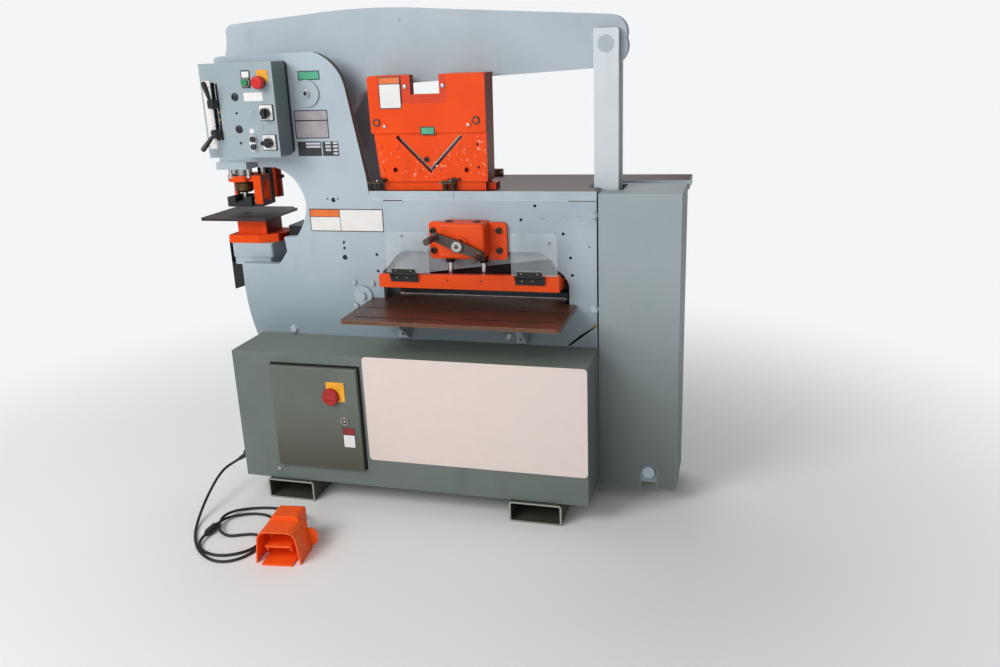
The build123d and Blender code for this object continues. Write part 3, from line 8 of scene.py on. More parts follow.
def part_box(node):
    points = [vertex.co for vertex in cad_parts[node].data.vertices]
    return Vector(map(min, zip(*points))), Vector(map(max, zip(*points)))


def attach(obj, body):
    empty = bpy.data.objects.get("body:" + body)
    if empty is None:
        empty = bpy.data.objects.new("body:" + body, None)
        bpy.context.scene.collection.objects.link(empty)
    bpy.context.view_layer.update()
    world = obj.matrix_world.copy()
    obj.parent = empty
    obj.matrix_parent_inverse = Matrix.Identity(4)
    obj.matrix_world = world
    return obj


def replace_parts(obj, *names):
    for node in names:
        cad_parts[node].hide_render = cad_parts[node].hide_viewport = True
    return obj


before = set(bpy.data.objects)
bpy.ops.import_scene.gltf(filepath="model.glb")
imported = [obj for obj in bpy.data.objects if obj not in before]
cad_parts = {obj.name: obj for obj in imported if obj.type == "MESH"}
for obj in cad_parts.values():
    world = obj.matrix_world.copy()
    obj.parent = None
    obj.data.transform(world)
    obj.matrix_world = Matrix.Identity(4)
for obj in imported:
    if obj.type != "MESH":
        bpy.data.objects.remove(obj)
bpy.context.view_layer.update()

# Machine places are in millimetres: x from the middle of the front box, y from the front
# plate's face and z from the floor. The frame's own origin lies at CENTRE_X, CENTRE_Y.
MM = 0.001
CENTRE_X = 25.5
CENTRE_Y = -119.88014


def at(x, y, z):
    return Vector(((x - CENTRE_X) * MM, (y - CENTRE_Y) * MM, z * MM))


def rgb(red, green, blue):
    """A colour as an eye reads it, from 0 to 255, turned into light values."""
    light = []
    for value in (red, green, blue):
        share = value / 255
        light.append(share / 12.92 if share <= 0.04045 else ((share + 0.055) / 1.055) ** 2.4)
    return (*light, 1.0)


def toned(colour, scale, lift=0.0):
    """A darker or paler version of a colour in light values."""
    return (*(min(1.0, value * scale + lift) for value in colour[:3]), 1.0)


def new_object(name, data):
    made = bpy.data.objects.new(name, data)
    bpy.context.scene.collection.objects.link(made)
    return made


# Camera and cords

CAMERA_SPOT = (1.01882, -2.57166, 1.44227)
CAMERA_TILT = -17.46246037
CAMERA_TURN = 15.96867707
CAMERA_ROLL = 2.28212936
CAMERA_LENS = 32.1668


def set_camera():
    turn = Euler((radians(CAMERA_TILT), 0, 0)).to_matrix()
    turn = Matrix.Rotation(radians(CAMERA_TURN), 3, "Z") @ turn
    turn = turn @ Matrix.Rotation(radians(CAMERA_ROLL), 3, "Y")
    right, ahead, up = turn.col
    data = bpy.data.cameras.new("camera")
    data.lens = CAMERA_LENS
    data.sensor_width = 36
    data.clip_end = 60
    camera = new_object("camera", data)
    place = Matrix((right, up, -ahead)).transposed().to_4x4()
    place.translation = Vector(CAMERA_SPOT)
    camera.matrix_world = place
    bpy.context.scene.camera = camera


CORD_WIDTH = 0.009
GLAND_TIP = (-636.9, -190, 120.04)
CORD_TO_CONNECTOR = [
    GLAND_TIP, (-660, -190, 105), (-684, -216, 92), (-686, -264, 78), (-680, -312, 64),
    (-674, -360, 46), (-667, -404, 26), (-656, -446, 10), (-634, -494, 5), (-602, -544, 5),
    (-556, -597, 5), (-503, -633, 5), (-451, -645, 5), (-405, -622, 5), (-379, -573, 5),
    (-373, -510, 5), (-382, -440, 5), (-408, -382, 5), (-452, -350, 5), (-508, -350, 5),
    (-556, -380, 8), (-580, -418, 12), (-580, -450, 12),
]
CORD_TO_PEDAL = [
    (-580, -518, 12), (-580, -546, 12), (-564, -582, 6), (-520, -608, 5), (-464, -612, 5),
    (-412, -584, 5), (-385, -540, 5), (-391, -495, 5), (-428, -470, 5), (-470, -484, 5),
    (-508, -504, 6), (-546, -492, 12), (-570, -452, 19), (-584, -402, 18), (-570, -350, 10),
    (-522, -316, 5), (-462, -302, 5), (-398, -306, 5), (-345, -326, 10), (-312, -364, 26),
    (-297, -407, 36), (-292.96, -438.28, 36),
]


def lay_cord(name, route):
    """A cord along its route. The points carry its radius, so the curve's own box is the cord's."""
    curve = bpy.data.curves.new(name, "CURVE")
    curve.dimensions = "3D"
    curve.bevel_depth = 1.0
    curve.bevel_resolution = 4
    curve.resolution_u = 10
    spline = curve.splines.new("NURBS")
    spline.points.add(len(route) - 1)
    for point, spot in zip(spline.points, route):
        point.co = (*at(*spot), 1.0)
        point.radius = CORD_WIDTH / 2
    spline.order_u = 3
    spline.use_endpoint_u = True
    cord = new_object(name, curve)
    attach(cord, "frame")
    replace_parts(cord, "pedal_cord")
    return cord


set_camera()
cord_out = lay_cord("cord_to_connector", CORD_TO_CONNECTOR)
cord_back = lay_cord("cord_to_pedal", CORD_TO_PEDAL)


# Shader maths

EDGE_SAMPLES = 4
CORNER_SAMPLES = 6
MIX_SHARE, MIX_FIRST, MIX_SECOND, MIX_RESULT = 0, 6, 7, 2


class Value:
    """A number in a material, so that its sums are written as Python."""

    def __init__(self, paint, socket):
        self.paint = paint
        self.socket = socket

    def sum(self, operation, first, second):
        node = self.paint.node("Math", {0: first, 1: second}, operation=operation)
        return Value(self.paint, node.outputs[0])

    def __add__(self, other):
        return self.sum("ADD", self, other)

    def __sub__(self, other):
        return self.sum("SUBTRACT", self, other)

    def __rsub__(self, other):
        return self.sum("SUBTRACT", other, self)

    def __mul__(self, other):
        return self.sum("MULTIPLY", self, other)

    def most(self, other):
        return self.sum("MAXIMUM", self, other)

    def spread(self, low, high):
        """0 at low and 1 at high, eased in between."""
        node = self.paint.node("MapRange", {
            "Value": self, "From Min": low, "From Max": high, "To Min": 0.0, "To Max": 1.0,
        }, interpolation_type="SMOOTHSTEP", clamp=True)
        return Value(self.paint, node.outputs[0])

    __radd__ = __add__
    __rmul__ = __mul__


def new_node(tree, kind, sockets=None, **settings):
    """A shader node whose sockets are set to values or linked to other nodes."""
    node = tree.nodes.new("ShaderNode" + kind)
    for name, value in settings.items():
        setattr(node, name, value)
    for key, value in (sockets or {}).items():
        value = value.socket if isinstance(value, Value) else value
        if isinstance(value, bpy.types.NodeSocket):
            tree.links.new(value, node.inputs[key])
        else:
            node.inputs[key].default_value = value
    return node


class Paint:
    """One procedural material, and the patterns its finish is made from."""

    def __init__(self, name, slot):
        self.slot = slot
        self.material = bpy.data.materials.new(name)
        self.material.use_nodes = True
        self.tree = self.material.node_tree
        self.tree.nodes.clear()
        self.place = self.node("TexCoord").outputs["Object"]

    def node(self, kind, sockets=None, **settings):
        return new_node(self.tree, kind, sockets, **settings)

    def stretched(self, x, y, z):
        node = self.node("Mapping", {"Vector": self.place, "Scale": (x, y, z)})
        return node.outputs[0]

    def noise(self, scale, detail=3.0, rough=0.5, place=None):
        node = self.node("TexNoise", {
            "Vector": place or self.place, "Scale": scale, "Detail": detail, "Roughness": rough})
        return Value(self, node.outputs["Fac"])

    def axis(self, name):
        node = self.node("SeparateXYZ", {0: self.place})
        return Value(self, node.outputs[name])

    def facing(self, name):
        """1 on surfaces that look along the axis and -1 on those that look back."""
        normal = self.node("NewGeometry").outputs["Normal"]
        split = self.node("SeparateXYZ", {0: normal})
        return Value(self, split.outputs[name])

    def rim(self, width):
        """Bright along the edges of the solid: how far a softened normal leans from the true one."""
        soft = self.node("Bevel", {"Radius": width}, samples=EDGE_SAMPLES)
        true = self.node("NewGeometry")
        dot = self.node("VectorMath", {0: soft.outputs[0], 1: true.outputs["Normal"]},
                        operation="DOT_PRODUCT")
        return 1 - Value(self, dot.outputs["Value"])

    def corner(self, reach):
        """Painted shade: dark where surfaces meet, from ambient occlusion."""
        node = self.node("AmbientOcclusion", {"Distance": reach}, samples=CORNER_SAMPLES)
        return 1 - Value(self, node.outputs["AO"])

    def mix(self, first, second, share):
        node = self.node("Mix", {MIX_SHARE: share, MIX_FIRST: first, MIX_SECOND: second}, data_type="RGBA")
        return node.outputs[MIX_RESULT]

    def finish(self, colour, rough, bump, depth, edge, metal=0.0, **fixed):
        """The surface itself: bump height to a depth in metres, over edges softened by a radius."""
        soft = self.node("Bevel", {"Radius": edge}, samples=EDGE_SAMPLES).outputs[0]
        normal = self.node("Bump", {"Height": bump, "Distance": depth, "Normal": soft}).outputs[0]
        shader = self.node("BsdfPrincipled", {
            "Base Color": colour, "Roughness": rough, "Metallic": metal, "Normal": normal, **fixed})
        self.node("OutputMaterial", {0: shader.outputs[0]})
        return self


# Finishes: their colours are given from 0 to 255

def enamel(name, slot, main, faded, chip, gloss=0.34, wear=0.60, peel=0.00006, patches=(),
           streaks=0.30, lustre=0.38):
    """Sprayed enamel: slow clouds of colour, fine orange peel, dirt streaks, rubbed edges, painted shade
    in the corners and a painted highlight along the edges.
    """
    main, faded, chip = rgb(*main), rgb(*faded), rgb(*chip)
    paint = Paint(name, slot)
    clouds = paint.noise(2.6, 5.0, 0.6)
    smears = paint.noise(9.0, 4.0, 0.6, paint.stretched(1.0, 1.0, 0.35))
    colour = paint.mix(main, faded, clouds.spread(0.36, 0.68))
    for patch, tone in patches:
        colour = paint.mix(colour, rgb(*tone), patch(paint))
    grime_and_shade = toned(main, 0.42)
    colour = paint.mix(colour, grime_and_shade, smears.spread(0.58, 0.86) * streaks)
    # Painted shade where surfaces meet, in the same dark tone as the grime streaks.
    colour = paint.mix(colour, grime_and_shade, paint.corner(0.022).spread(0.25, 0.95) * 0.75)
    specks = paint.noise(210.0, 2.0)
    scuffs = paint.noise(46.0, 6.0, 0.7)
    scratches = paint.noise(16.0, 5.0, 0.72, paint.stretched(1.0, 1.0, 6.0)).spread(0.685, 0.70)
    # Paler along every rim: a painted highlight.
    edge_highlight_and_wear = toned(main, 1.35, 0.04)
    colour = paint.mix(colour, edge_highlight_and_wear, paint.rim(0.0030).spread(0.010, 0.09) * 0.60)
    bare = paint.rim(0.0022).spread(0.012, 0.07) * scuffs.spread(wear, wear + 0.07)
    spots = paint.noise(28.0, 5.0, 0.62).spread(0.735, 0.75)
    chips = bare.most(spots * 0.9).most(scratches * 0.35)
    colour = paint.mix(colour, chip, chips)
    rough = gloss + 0.14 * smears + 0.10 * clouds + 0.22 * chips
    bump = specks * 0.5 + scuffs * 0.12 - chips * 0.9
    return paint.finish(colour, rough, bump, peel, 0.0014, **{"Specular IOR Level": lustre})


def worked_steel(name, slot, main, dark, rust, rough, metal, stretch, stain):
    """Rolled or ground steel under oil: long grain, brown stain clouds, bright rubbed edges."""
    main, dark, rust = rgb(*main), rgb(*dark), rgb(*rust)
    paint = Paint(name, slot)
    grain = paint.noise(42.0, 6.0, 0.65, paint.stretched(*stretch))
    clouds = paint.noise(5.5, 6.0, 0.62)
    marks = paint.noise(60.0, 4.0, 0.7)
    colour = paint.mix(main, dark, grain.spread(0.30, 0.74) * 0.65)
    colour = paint.mix(colour, rust, clouds.spread(0.46, 0.72) * stain)
    # Painted shade where surfaces meet.
    colour = paint.mix(colour, dark, paint.corner(0.015).spread(0.3, 0.95) * 0.8)
    bright = toned(main, 1.7, 0.12)
    edge = paint.rim(0.0016).spread(0.015, 0.10)
    colour = paint.mix(colour, bright, edge * 0.6)
    finish = rough + 0.16 * clouds + 0.10 * grain - 0.10 * edge
    return paint.finish(colour, finish, grain * 0.5 + marks * 0.35, 0.00008, 0.0010, metal)


def moulded(name, slot, main, dark, rough, wear):
    """Moulded plastic or rubber: a fine matt grain, dust, handling marks and a painted highlight along the
    edges.
    """
    main, dark = rgb(*main), rgb(*dark)
    paint = Paint(name, slot)
    dust = paint.noise(16.0, 5.0, 0.6)
    grain = paint.noise(420.0, 2.0)
    colour = paint.mix(main, dark, dust.spread(0.38, 0.70))
    # Paler rims: a painted highlight, with handling wear added where wear is given.
    edge_highlight_and_wear = toned(main, 1.5, 0.10)
    colour = paint.mix(colour, edge_highlight_and_wear, paint.rim(0.0012).spread(0.02, 0.2) * (0.25 + wear))
    return paint.finish(colour, rough + 0.18 * dust, grain, 0.00004, 0.0008)


def printed(name, slot, main, shade):
    """A blank plate or label: faintly uneven print under a thin clear film."""
    main, shade = rgb(*main), rgb(*shade)
    paint = Paint(name, slot)
    clouds = paint.noise(24.0, 4.0, 0.6)
    specks = paint.noise(240.0, 3.0, 0.7)
    colour = paint.mix(main, shade, clouds.spread(0.38, 0.72))
    colour = paint.mix(colour, toned(main, 0.45), specks.spread(0.74, 0.84) * 0.12)
    return paint.finish(colour, 0.36 + 0.06 * clouds, specks, 0.00002, 0.0005)


def clear_sheet():
    """Scuffed clear guard: cloudy haze and hairline scratches, brighter at its cut edges."""
    paint = Paint("clear_guard_sheet", "clear_guard")
    haze = paint.noise(11.0, 5.0, 0.65)
    hair = paint.noise(70.0, 4.0, 0.7, paint.stretched(1.0, 1.0, 9.0)).spread(0.66, 0.72)
    edge = paint.rim(0.004).spread(0.01, 0.12)
    colour = paint.mix(rgb(214, 222, 226), rgb(168, 180, 186), haze.spread(0.3, 0.7))
    alpha = 0.16 + 0.12 * haze + 0.14 * hair + 0.34 * edge
    shown = paint.finish(colour, 0.10 + 0.22 * haze, hair, 0.00003, 0.001, Alpha=alpha)
    shown.material.surface_render_method = "BLENDED"
    return shown


def deck_finish():
    """Mill plate on top, brown under oil and partly a painted reflection of the room, with its front edge
    painted like the frame.
    """
    paint = Paint("deck_plate_finish", "bare_steel")
    top = paint.facing("Z").spread(0.5, 0.8)
    grain = paint.noise(40.0, 6.0, 0.65, paint.stretched(2.0, 10.0, 1.0))
    clouds = paint.noise(5.0, 6.0, 0.62)
    steel = paint.mix(rgb(74, 51, 50), rgb(44, 30, 30), grain.spread(0.30, 0.74) * 0.7)
    steel = paint.mix(steel, rgb(78, 58, 48), clouds.spread(0.44, 0.70) * 0.7)
    lip = paint.mix(rgb(176, 190, 199), rgb(164, 178, 187), clouds.spread(0.36, 0.68))
    # A painted highlight along the lip's rims.
    lip = paint.mix(lip, rgb(226, 230, 232), paint.rim(0.004).spread(0.01, 0.08) * 0.7)
    colour = paint.mix(lip, steel, top)
    # Painted shade where surfaces meet.
    colour = paint.mix(colour, rgb(48, 44, 42), paint.corner(0.02).spread(0.3, 0.95) * 0.7)
    rough = 0.30 + 0.16 * clouds + 0.08 * grain
    return paint.finish(colour, rough, grain * 0.5 + clouds * 0.4, 0.00008, 0.0012, top * 0.5)


# Masks for patches of another colour on a paint, some of them painted light or shade

def between(axis, low, high, soft=0.002):
    """1 between two machine places along an axis, in millimetres, with soft ends in metres."""
    start = {"X": CENTRE_X, "Y": CENTRE_Y, "Z": 0.0}[axis]

    def mask(paint):
        along = paint.axis(axis)
        bottom, top = (low - start) * MM, (high - start) * MM
        return along.spread(bottom - soft, bottom + soft) * (1 - along.spread(top - soft, top + soft))
    return mask


def below(low, high):
    """1 under the lower height and 0 above the upper one, in metres."""
    return lambda paint: 1 - paint.axis("Z").spread(low, high)


def scuffed(low, high, grain):
    """Short rubbed marks that keep to a band of heights."""
    def mask(paint):
        marks = paint.noise(grain, 4.0, 0.65).spread(0.60, 0.64)
        band = between("Z", low, high, 0.012)(paint)
        return marks * paint.noise(9.0, 3.0).spread(0.46, 0.60) * band * 0.62
    return mask


def shaded_lower_front(paint):
    """Painted shade: the plate darkens towards the front box, where less light reaches."""
    return below(0.50, 0.86)(paint) * 0.85


def plate_scratches(paint):
    """Fine level scratches beside the hold-down gearbox."""
    hair = paint.noise(26.0, 5.0, 0.7, paint.stretched(1.0, 1.0, 7.0)).spread(0.57, 0.61)
    return hair * between("X", 405, 562, 0.01)(paint) * between("Z", 938, 962, 0.006)(paint) * 0.6


def plate_edge(paint):
    """Dark brown on the right-facing edge face of the head, short of its rims."""
    upper_right = paint.facing("X").spread(0.25, 0.45) * paint.axis("Z").spread(1.035, 1.045)
    return upper_right * (1 - paint.rim(0.004).spread(0.01, 0.06))


def painted_throat_shadow(paint):
    """Painted shadow on the spacers low in the throat, behind the punch table."""
    return between("X", -532, -439)(paint) * between("Z", 841, 885)(paint)


# Painted light: faces that look to the front take a lit tone.
def lit_front_side(paint):
    return 1 - paint.facing("Y").spread(-0.9, -0.6)


# Painted shade on faces that look to the right, away from the lights.
def shaded_right_side(paint):
    return paint.facing("X").spread(0.5, 0.7)


# Painted light on faces that look up.
def lit_upward(paint):
    return paint.facing("Z").spread(0.5, 0.7)


# Palette

GREY = enamel(
    "grey_blue_enamel", "grey_paint", (168, 181, 188), (158, 172, 179), (86, 92, 92), gloss=0.36)
# The plates' enamel, with painted shade low down towards the front box.
PLATE = enamel(
    "plate_enamel", "grey_paint", (172, 185, 194), (162, 175, 185), (88, 94, 96),
    patches=((shaded_lower_front, (122, 138, 146)), (plate_scratches, (104, 112, 116)),
             (plate_edge, (88, 76, 62))))
# A shaded copy of the grey enamel for the front box and tank: painted shade, with painted light on upward
# faces.
GREY_SHADED = enamel(
    "box_grey_enamel", "grey_paint", (106, 116, 112), (97, 107, 102), (50, 54, 52),
    patches=((lit_upward, (124, 134, 124)),), streaks=0.42)
# A shaded copy of the grey enamel for the door, darker still towards the bottom.
DOOR = enamel(
    "door_enamel", "grey_paint", (101, 107, 101), (93, 99, 92), (50, 52, 48),
    patches=((below(0.10, 0.40), (78, 78, 66)),), streaks=0.42)
# Painted shade on the fork tubes, with painted light on their front faces.
FORK = enamel(
    "fork_enamel", "grey_paint", (72, 75, 66), (66, 68, 58), (44, 42, 36),
    patches=((lit_front_side, (150, 158, 148)),), streaks=0.42)
# Painted shade on the cabinet towards the floor and on its right side.
CABINET = enamel(
    "cabinet_enamel", "grey_paint", (158, 169, 174), (154, 166, 171), (70, 76, 76),
    patches=((below(0.05, 0.90), (99, 107, 102)), (shaded_right_side, (96, 104, 106))))
# The spacers' enamel, with a painted shadow low in the throat.
SPACERS = enamel(
    "spacer_enamel", "grey_paint", (160, 172, 178), (150, 163, 169), (86, 92, 92), gloss=0.36,
    patches=((painted_throat_shadow, (38, 33, 32)),))
CHUTE = enamel(
    "chute_enamel", "black_paint", (18, 20, 22), (28, 29, 31), (96, 88, 82), gloss=0.40, wear=0.66)
# A darker, duller orange for the floor of the housing's window recess.
ORANGE_RECESS = enamel(
    "window_enamel", "orange_paint", (214, 66, 26), (204, 60, 24), (70, 26, 14), gloss=0.30, wear=0.58,
    peel=0.00012, lustre=0.25)
GREY_PALE = enamel(
    "beam_grey_enamel", "grey_paint", (172, 184, 192), (162, 175, 183), (96, 100, 100), wear=0.62,
    peel=0.00012)
# A lit copy of the beam's grey enamel: painted light makes the link bars paler.
LINK_LIT = enamel(
    "link_enamel", "grey_paint", (208, 216, 222), (198, 207, 213), (104, 110, 112), gloss=0.32, wear=0.62,
    peel=0.00012)
# Painted shade on the control box's right side; the black band at its back is its rear trim.
CONTROL = enamel(
    "control_box_enamel", "grey_paint", (153, 167, 173), (145, 160, 166), (86, 92, 94), gloss=0.32,
    wear=0.64, patches=((shaded_right_side, (110, 126, 129)), (between("Y", -17, 60), (26, 28, 30))))
ORANGE = enamel(
    "orange_enamel", "orange_paint", (238, 80, 16), (224, 70, 13), (84, 32, 16), gloss=0.27, peel=0.00012,
    lustre=0.25)
# Painted shade on its right sides; the pale scuffs are rubbed marks.
ORANGE_CAST = enamel(
    "orange_cast_enamel", "orange_paint", (238, 76, 6), (226, 66, 5), (70, 26, 14), gloss=0.28, wear=0.58,
    peel=0.00022, patches=((scuffed(1062, 1204, 85.0), (255, 196, 164)), (shaded_right_side, (120, 22, 8))),
    lustre=0.18)
PEDAL = enamel(
    "pedal_enamel", "pedal_orange", (255, 98, 28), (242, 86, 24), (54, 34, 26), wear=0.54, peel=0.00010,
    lustre=0.3)
BLACK = enamel(
    "black_enamel", "black_paint", (34, 36, 38), (46, 48, 50), (120, 112, 104), gloss=0.38, wear=0.66)
MOTOR = enamel(
    "motor_enamel", "motor_paint", (62, 68, 72), (74, 80, 84), (30, 32, 34), gloss=0.42, wear=0.62)
# Its brown is partly oil stain and partly a painted reflection of the warm room.
TABLE = worked_steel(
    "table_steel", "bare_steel", (112, 80, 62), (66, 48, 40), (132, 78, 46), rough=0.21, metal=0.55,
    stretch=(10.0, 1.2, 1.0), stain=0.8)
PUNCH_TABLE = worked_steel(
    "punch_table_steel", "grey_paint", (66, 58, 64), (42, 36, 40), (84, 66, 50), rough=0.21, metal=0.6,
    stretch=(9.0, 1.0, 1.0), stain=0.6)
GROUND = worked_steel(
    "ground_steel", "ground_steel", (176, 176, 174), (112, 110, 108), (122, 98, 78), rough=0.24,
    metal=0.95, stretch=(1.0, 1.0, 20.0), stain=0.25)
OXIDE = worked_steel(
    "oxide_steel", "tool_steel", (60, 54, 50), (28, 26, 25), (76, 52, 38), rough=0.34, metal=0.8,
    stretch=(6.0, 1.0, 6.0), stain=0.6)
BLADE = worked_steel(
    "blade_steel", "tool_steel", (34, 29, 28), (18, 16, 16), (50, 34, 27), rough=0.42, metal=0.25,
    stretch=(6.0, 1.0, 6.0), stain=0.5)
CRANK = worked_steel(
    "crank_steel", "black_paint", (92, 80, 74), (48, 42, 40), (88, 62, 46), rough=0.34, metal=0.75,
    stretch=(9.0, 1.0, 3.0), stain=0.5)
NUT = worked_steel(
    "nut_steel", "tool_steel", (104, 74, 44), (50, 38, 26), (110, 66, 30), rough=0.28, metal=0.8,
    stretch=(1.0, 1.0, 14.0), stain=0.7)
CHROME = worked_steel(
    "bright_steel", "hard_chrome", (206, 206, 208), (150, 150, 152), (140, 124, 108), rough=0.14,
    metal=1.0, stretch=(1.0, 1.0, 16.0), stain=0.15)
ZINC = worked_steel(
    "zinc_bolts", "ground_steel", (190, 192, 190), (132, 132, 128), (128, 112, 92), rough=0.26, metal=0.9,
    stretch=(4.0, 4.0, 4.0), stain=0.35)
BLACK_PLASTIC = moulded(
    "black_plastic", "black_plastic", (28, 29, 31), (42, 43, 45), rough=0.40, wear=0.15)
GLOSS_BLACK = moulded("black_grip", "black_plastic", (20, 21, 23), (32, 33, 36), rough=0.22, wear=0.10)
RED_PLASTIC = moulded("red_plastic", "red_plastic", (208, 30, 26), (180, 20, 20), rough=0.22, wear=0.0)
KNOB = moulded(
    "disconnect_knob_plastic", "red_plastic", (176, 22, 18), (154, 16, 13), rough=0.26, wear=0.0)
GREEN_PLASTIC = moulded(
    "green_plastic", "green_plastic", (40, 132, 74), (32, 108, 60), rough=0.24, wear=0.0)
JACKET = moulded("cord_jacket", "rubber", (26, 26, 27), (44, 42, 40), rough=0.50, wear=0.05)
YELLOW = printed("yellow_plate", "pedal_orange", (240, 172, 28), (226, 156, 22))
WHITE = printed("white_plate", "grey_paint", (228, 226, 224), (222, 219, 217))
PLACARD = printed("placard_card", "grey_paint", (222, 207, 201), (220, 205, 199))
SILVER = printed("silver_plate", "ground_steel", (164, 158, 163), (146, 141, 146))
LILAC = printed("pale_plate", "ground_steel", (196, 196, 206), (180, 180, 190))
GREEN_LABEL = printed("green_plate", "green_plastic", (74, 168, 132), (62, 150, 116))
ORANGE_LABEL = printed("orange_plate", "orange_paint", (226, 112, 44), (208, 98, 36))
DARK_LABEL = printed("dark_plate", "black_plastic", (34, 36, 38), (48, 50, 52))
RED_LABEL = printed("red_plate", "red_plastic", (142, 40, 42), (122, 32, 34))
BRASS = worked_steel(
    "brass_contacts", "tool_steel", (176, 138, 84), (110, 84, 50), (140, 100, 54), rough=0.30, metal=0.9,
    stretch=(1.0, 1.0, 10.0), stain=0.4)
OLIVE = worked_steel(
    "plated_clamp", "tool_steel", (132, 122, 92), (84, 76, 54), (110, 88, 56), rough=0.34, metal=0.3,
    stretch=(5.0, 5.0, 5.0), stain=0.5)
DARK_HOLE = moulded("hole_shadow", "black_paint", (12, 12, 13), (20, 19, 18), rough=0.80, wear=0.0)
CLEAR = clear_sheet()
DECK = deck_finish()

PAINTED_NODES = (
    (PLATE, "frame_front_plate frame_rear_plate"),
    (SPACERS, "frame_spacers"),
    (DECK, "deck_plate"),
    (FORK, "fork_tubes"),
    (GREY_SHADED, "base_box oil_tank"),
    (DOOR, "electrical_door"),
    (KNOB, "disconnect_knob"),
    (ZINC, "door_lock"),
    (CABINET, "end_cabinet"),
    (GREY_PALE, "upper_beam beam_pins"),
    (LINK_LIT, "link_bars"),
    (GREY, "lower_arm pivot_pins ram_guide die_pedestal table_brackets"),
    (GROUND, "arm_pins valve_block punch_ram angle_blade"),
    (BLACK, "cylinder_barrel stripper_plate"),
    (CHROME, "cylinder_rod punch"),
    (MOTOR, "motor pump"),
    (BLACK_PLASTIC, "contactor_panel jog_up_button jog_down_button cord_gland cord_connector"),
    (NUT, "coupling_nut"),
    (PUNCH_TABLE, "die punch_table"),
    (ORANGE_CAST, "die_holder stripper_arm angle_housing"),
    (CHUTE, "slug_chute"),
    (OXIDE, "housing_clamps lower_blade"),
    (BLADE, "upper_blade"),
    (TABLE, "shear_table"),
    (ORANGE, "hold_down_bar hold_down_gearbox"),
    (CRANK, "hold_down_crank"),
    (CLEAR, "guard_left guard_right"),
    (CONTROL, "control_box"),
    (GREEN_PLASTIC, "start_button"),
    (RED_PLASTIC, "estop_button"),
    (GLOSS_BLACK, "pump_switch mode_switch stop_lever_upper stop_lever_lower"),
    (PEDAL, "pedal_housing pedal_treadle"),
    (JACKET, "pedal_cord"),
)
NODE_PAINT = {node: paint for paint, nodes in PAINTED_NODES for node in nodes.split()}


def paint_solids():
    for name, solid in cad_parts.items():
        mesh = solid.data
        mesh.materials.clear()
        mesh.materials.append(NODE_PAINT[name].material)
        mesh.polygons.foreach_set("material_index", [0] * len(mesh.polygons))


paint_solids()
for cord in (cord_out, cord_back):
    cord.data.materials.append(JACKET.material)


# Small pieces: each is made facing outwards along its own z, then stood on its surface

SHARP_ANGLE = radians(35.0)
FACES = {
    "front": ((1, 0, 0), (0, 0, 1)),
    "back": ((-1, 0, 0), (0, 0, 1)),
    "right": ((0, 1, 0), (0, 0, 1)),
    "up": ((1, 0, 0), (0, 1, 0)),
}


def standing(x, y, z, face="front", turn=0.0):
    """The place of a piece on a surface: across, up and outwards, turned about its outward line."""
    across, up = (Vector(side) for side in FACES[face])
    out = across.cross(up)
    place = Matrix((across, up, out)).transposed().to_4x4()
    place.translation = at(x, y, z)
    return place @ Matrix.Rotation(radians(turn), 4, "Z")


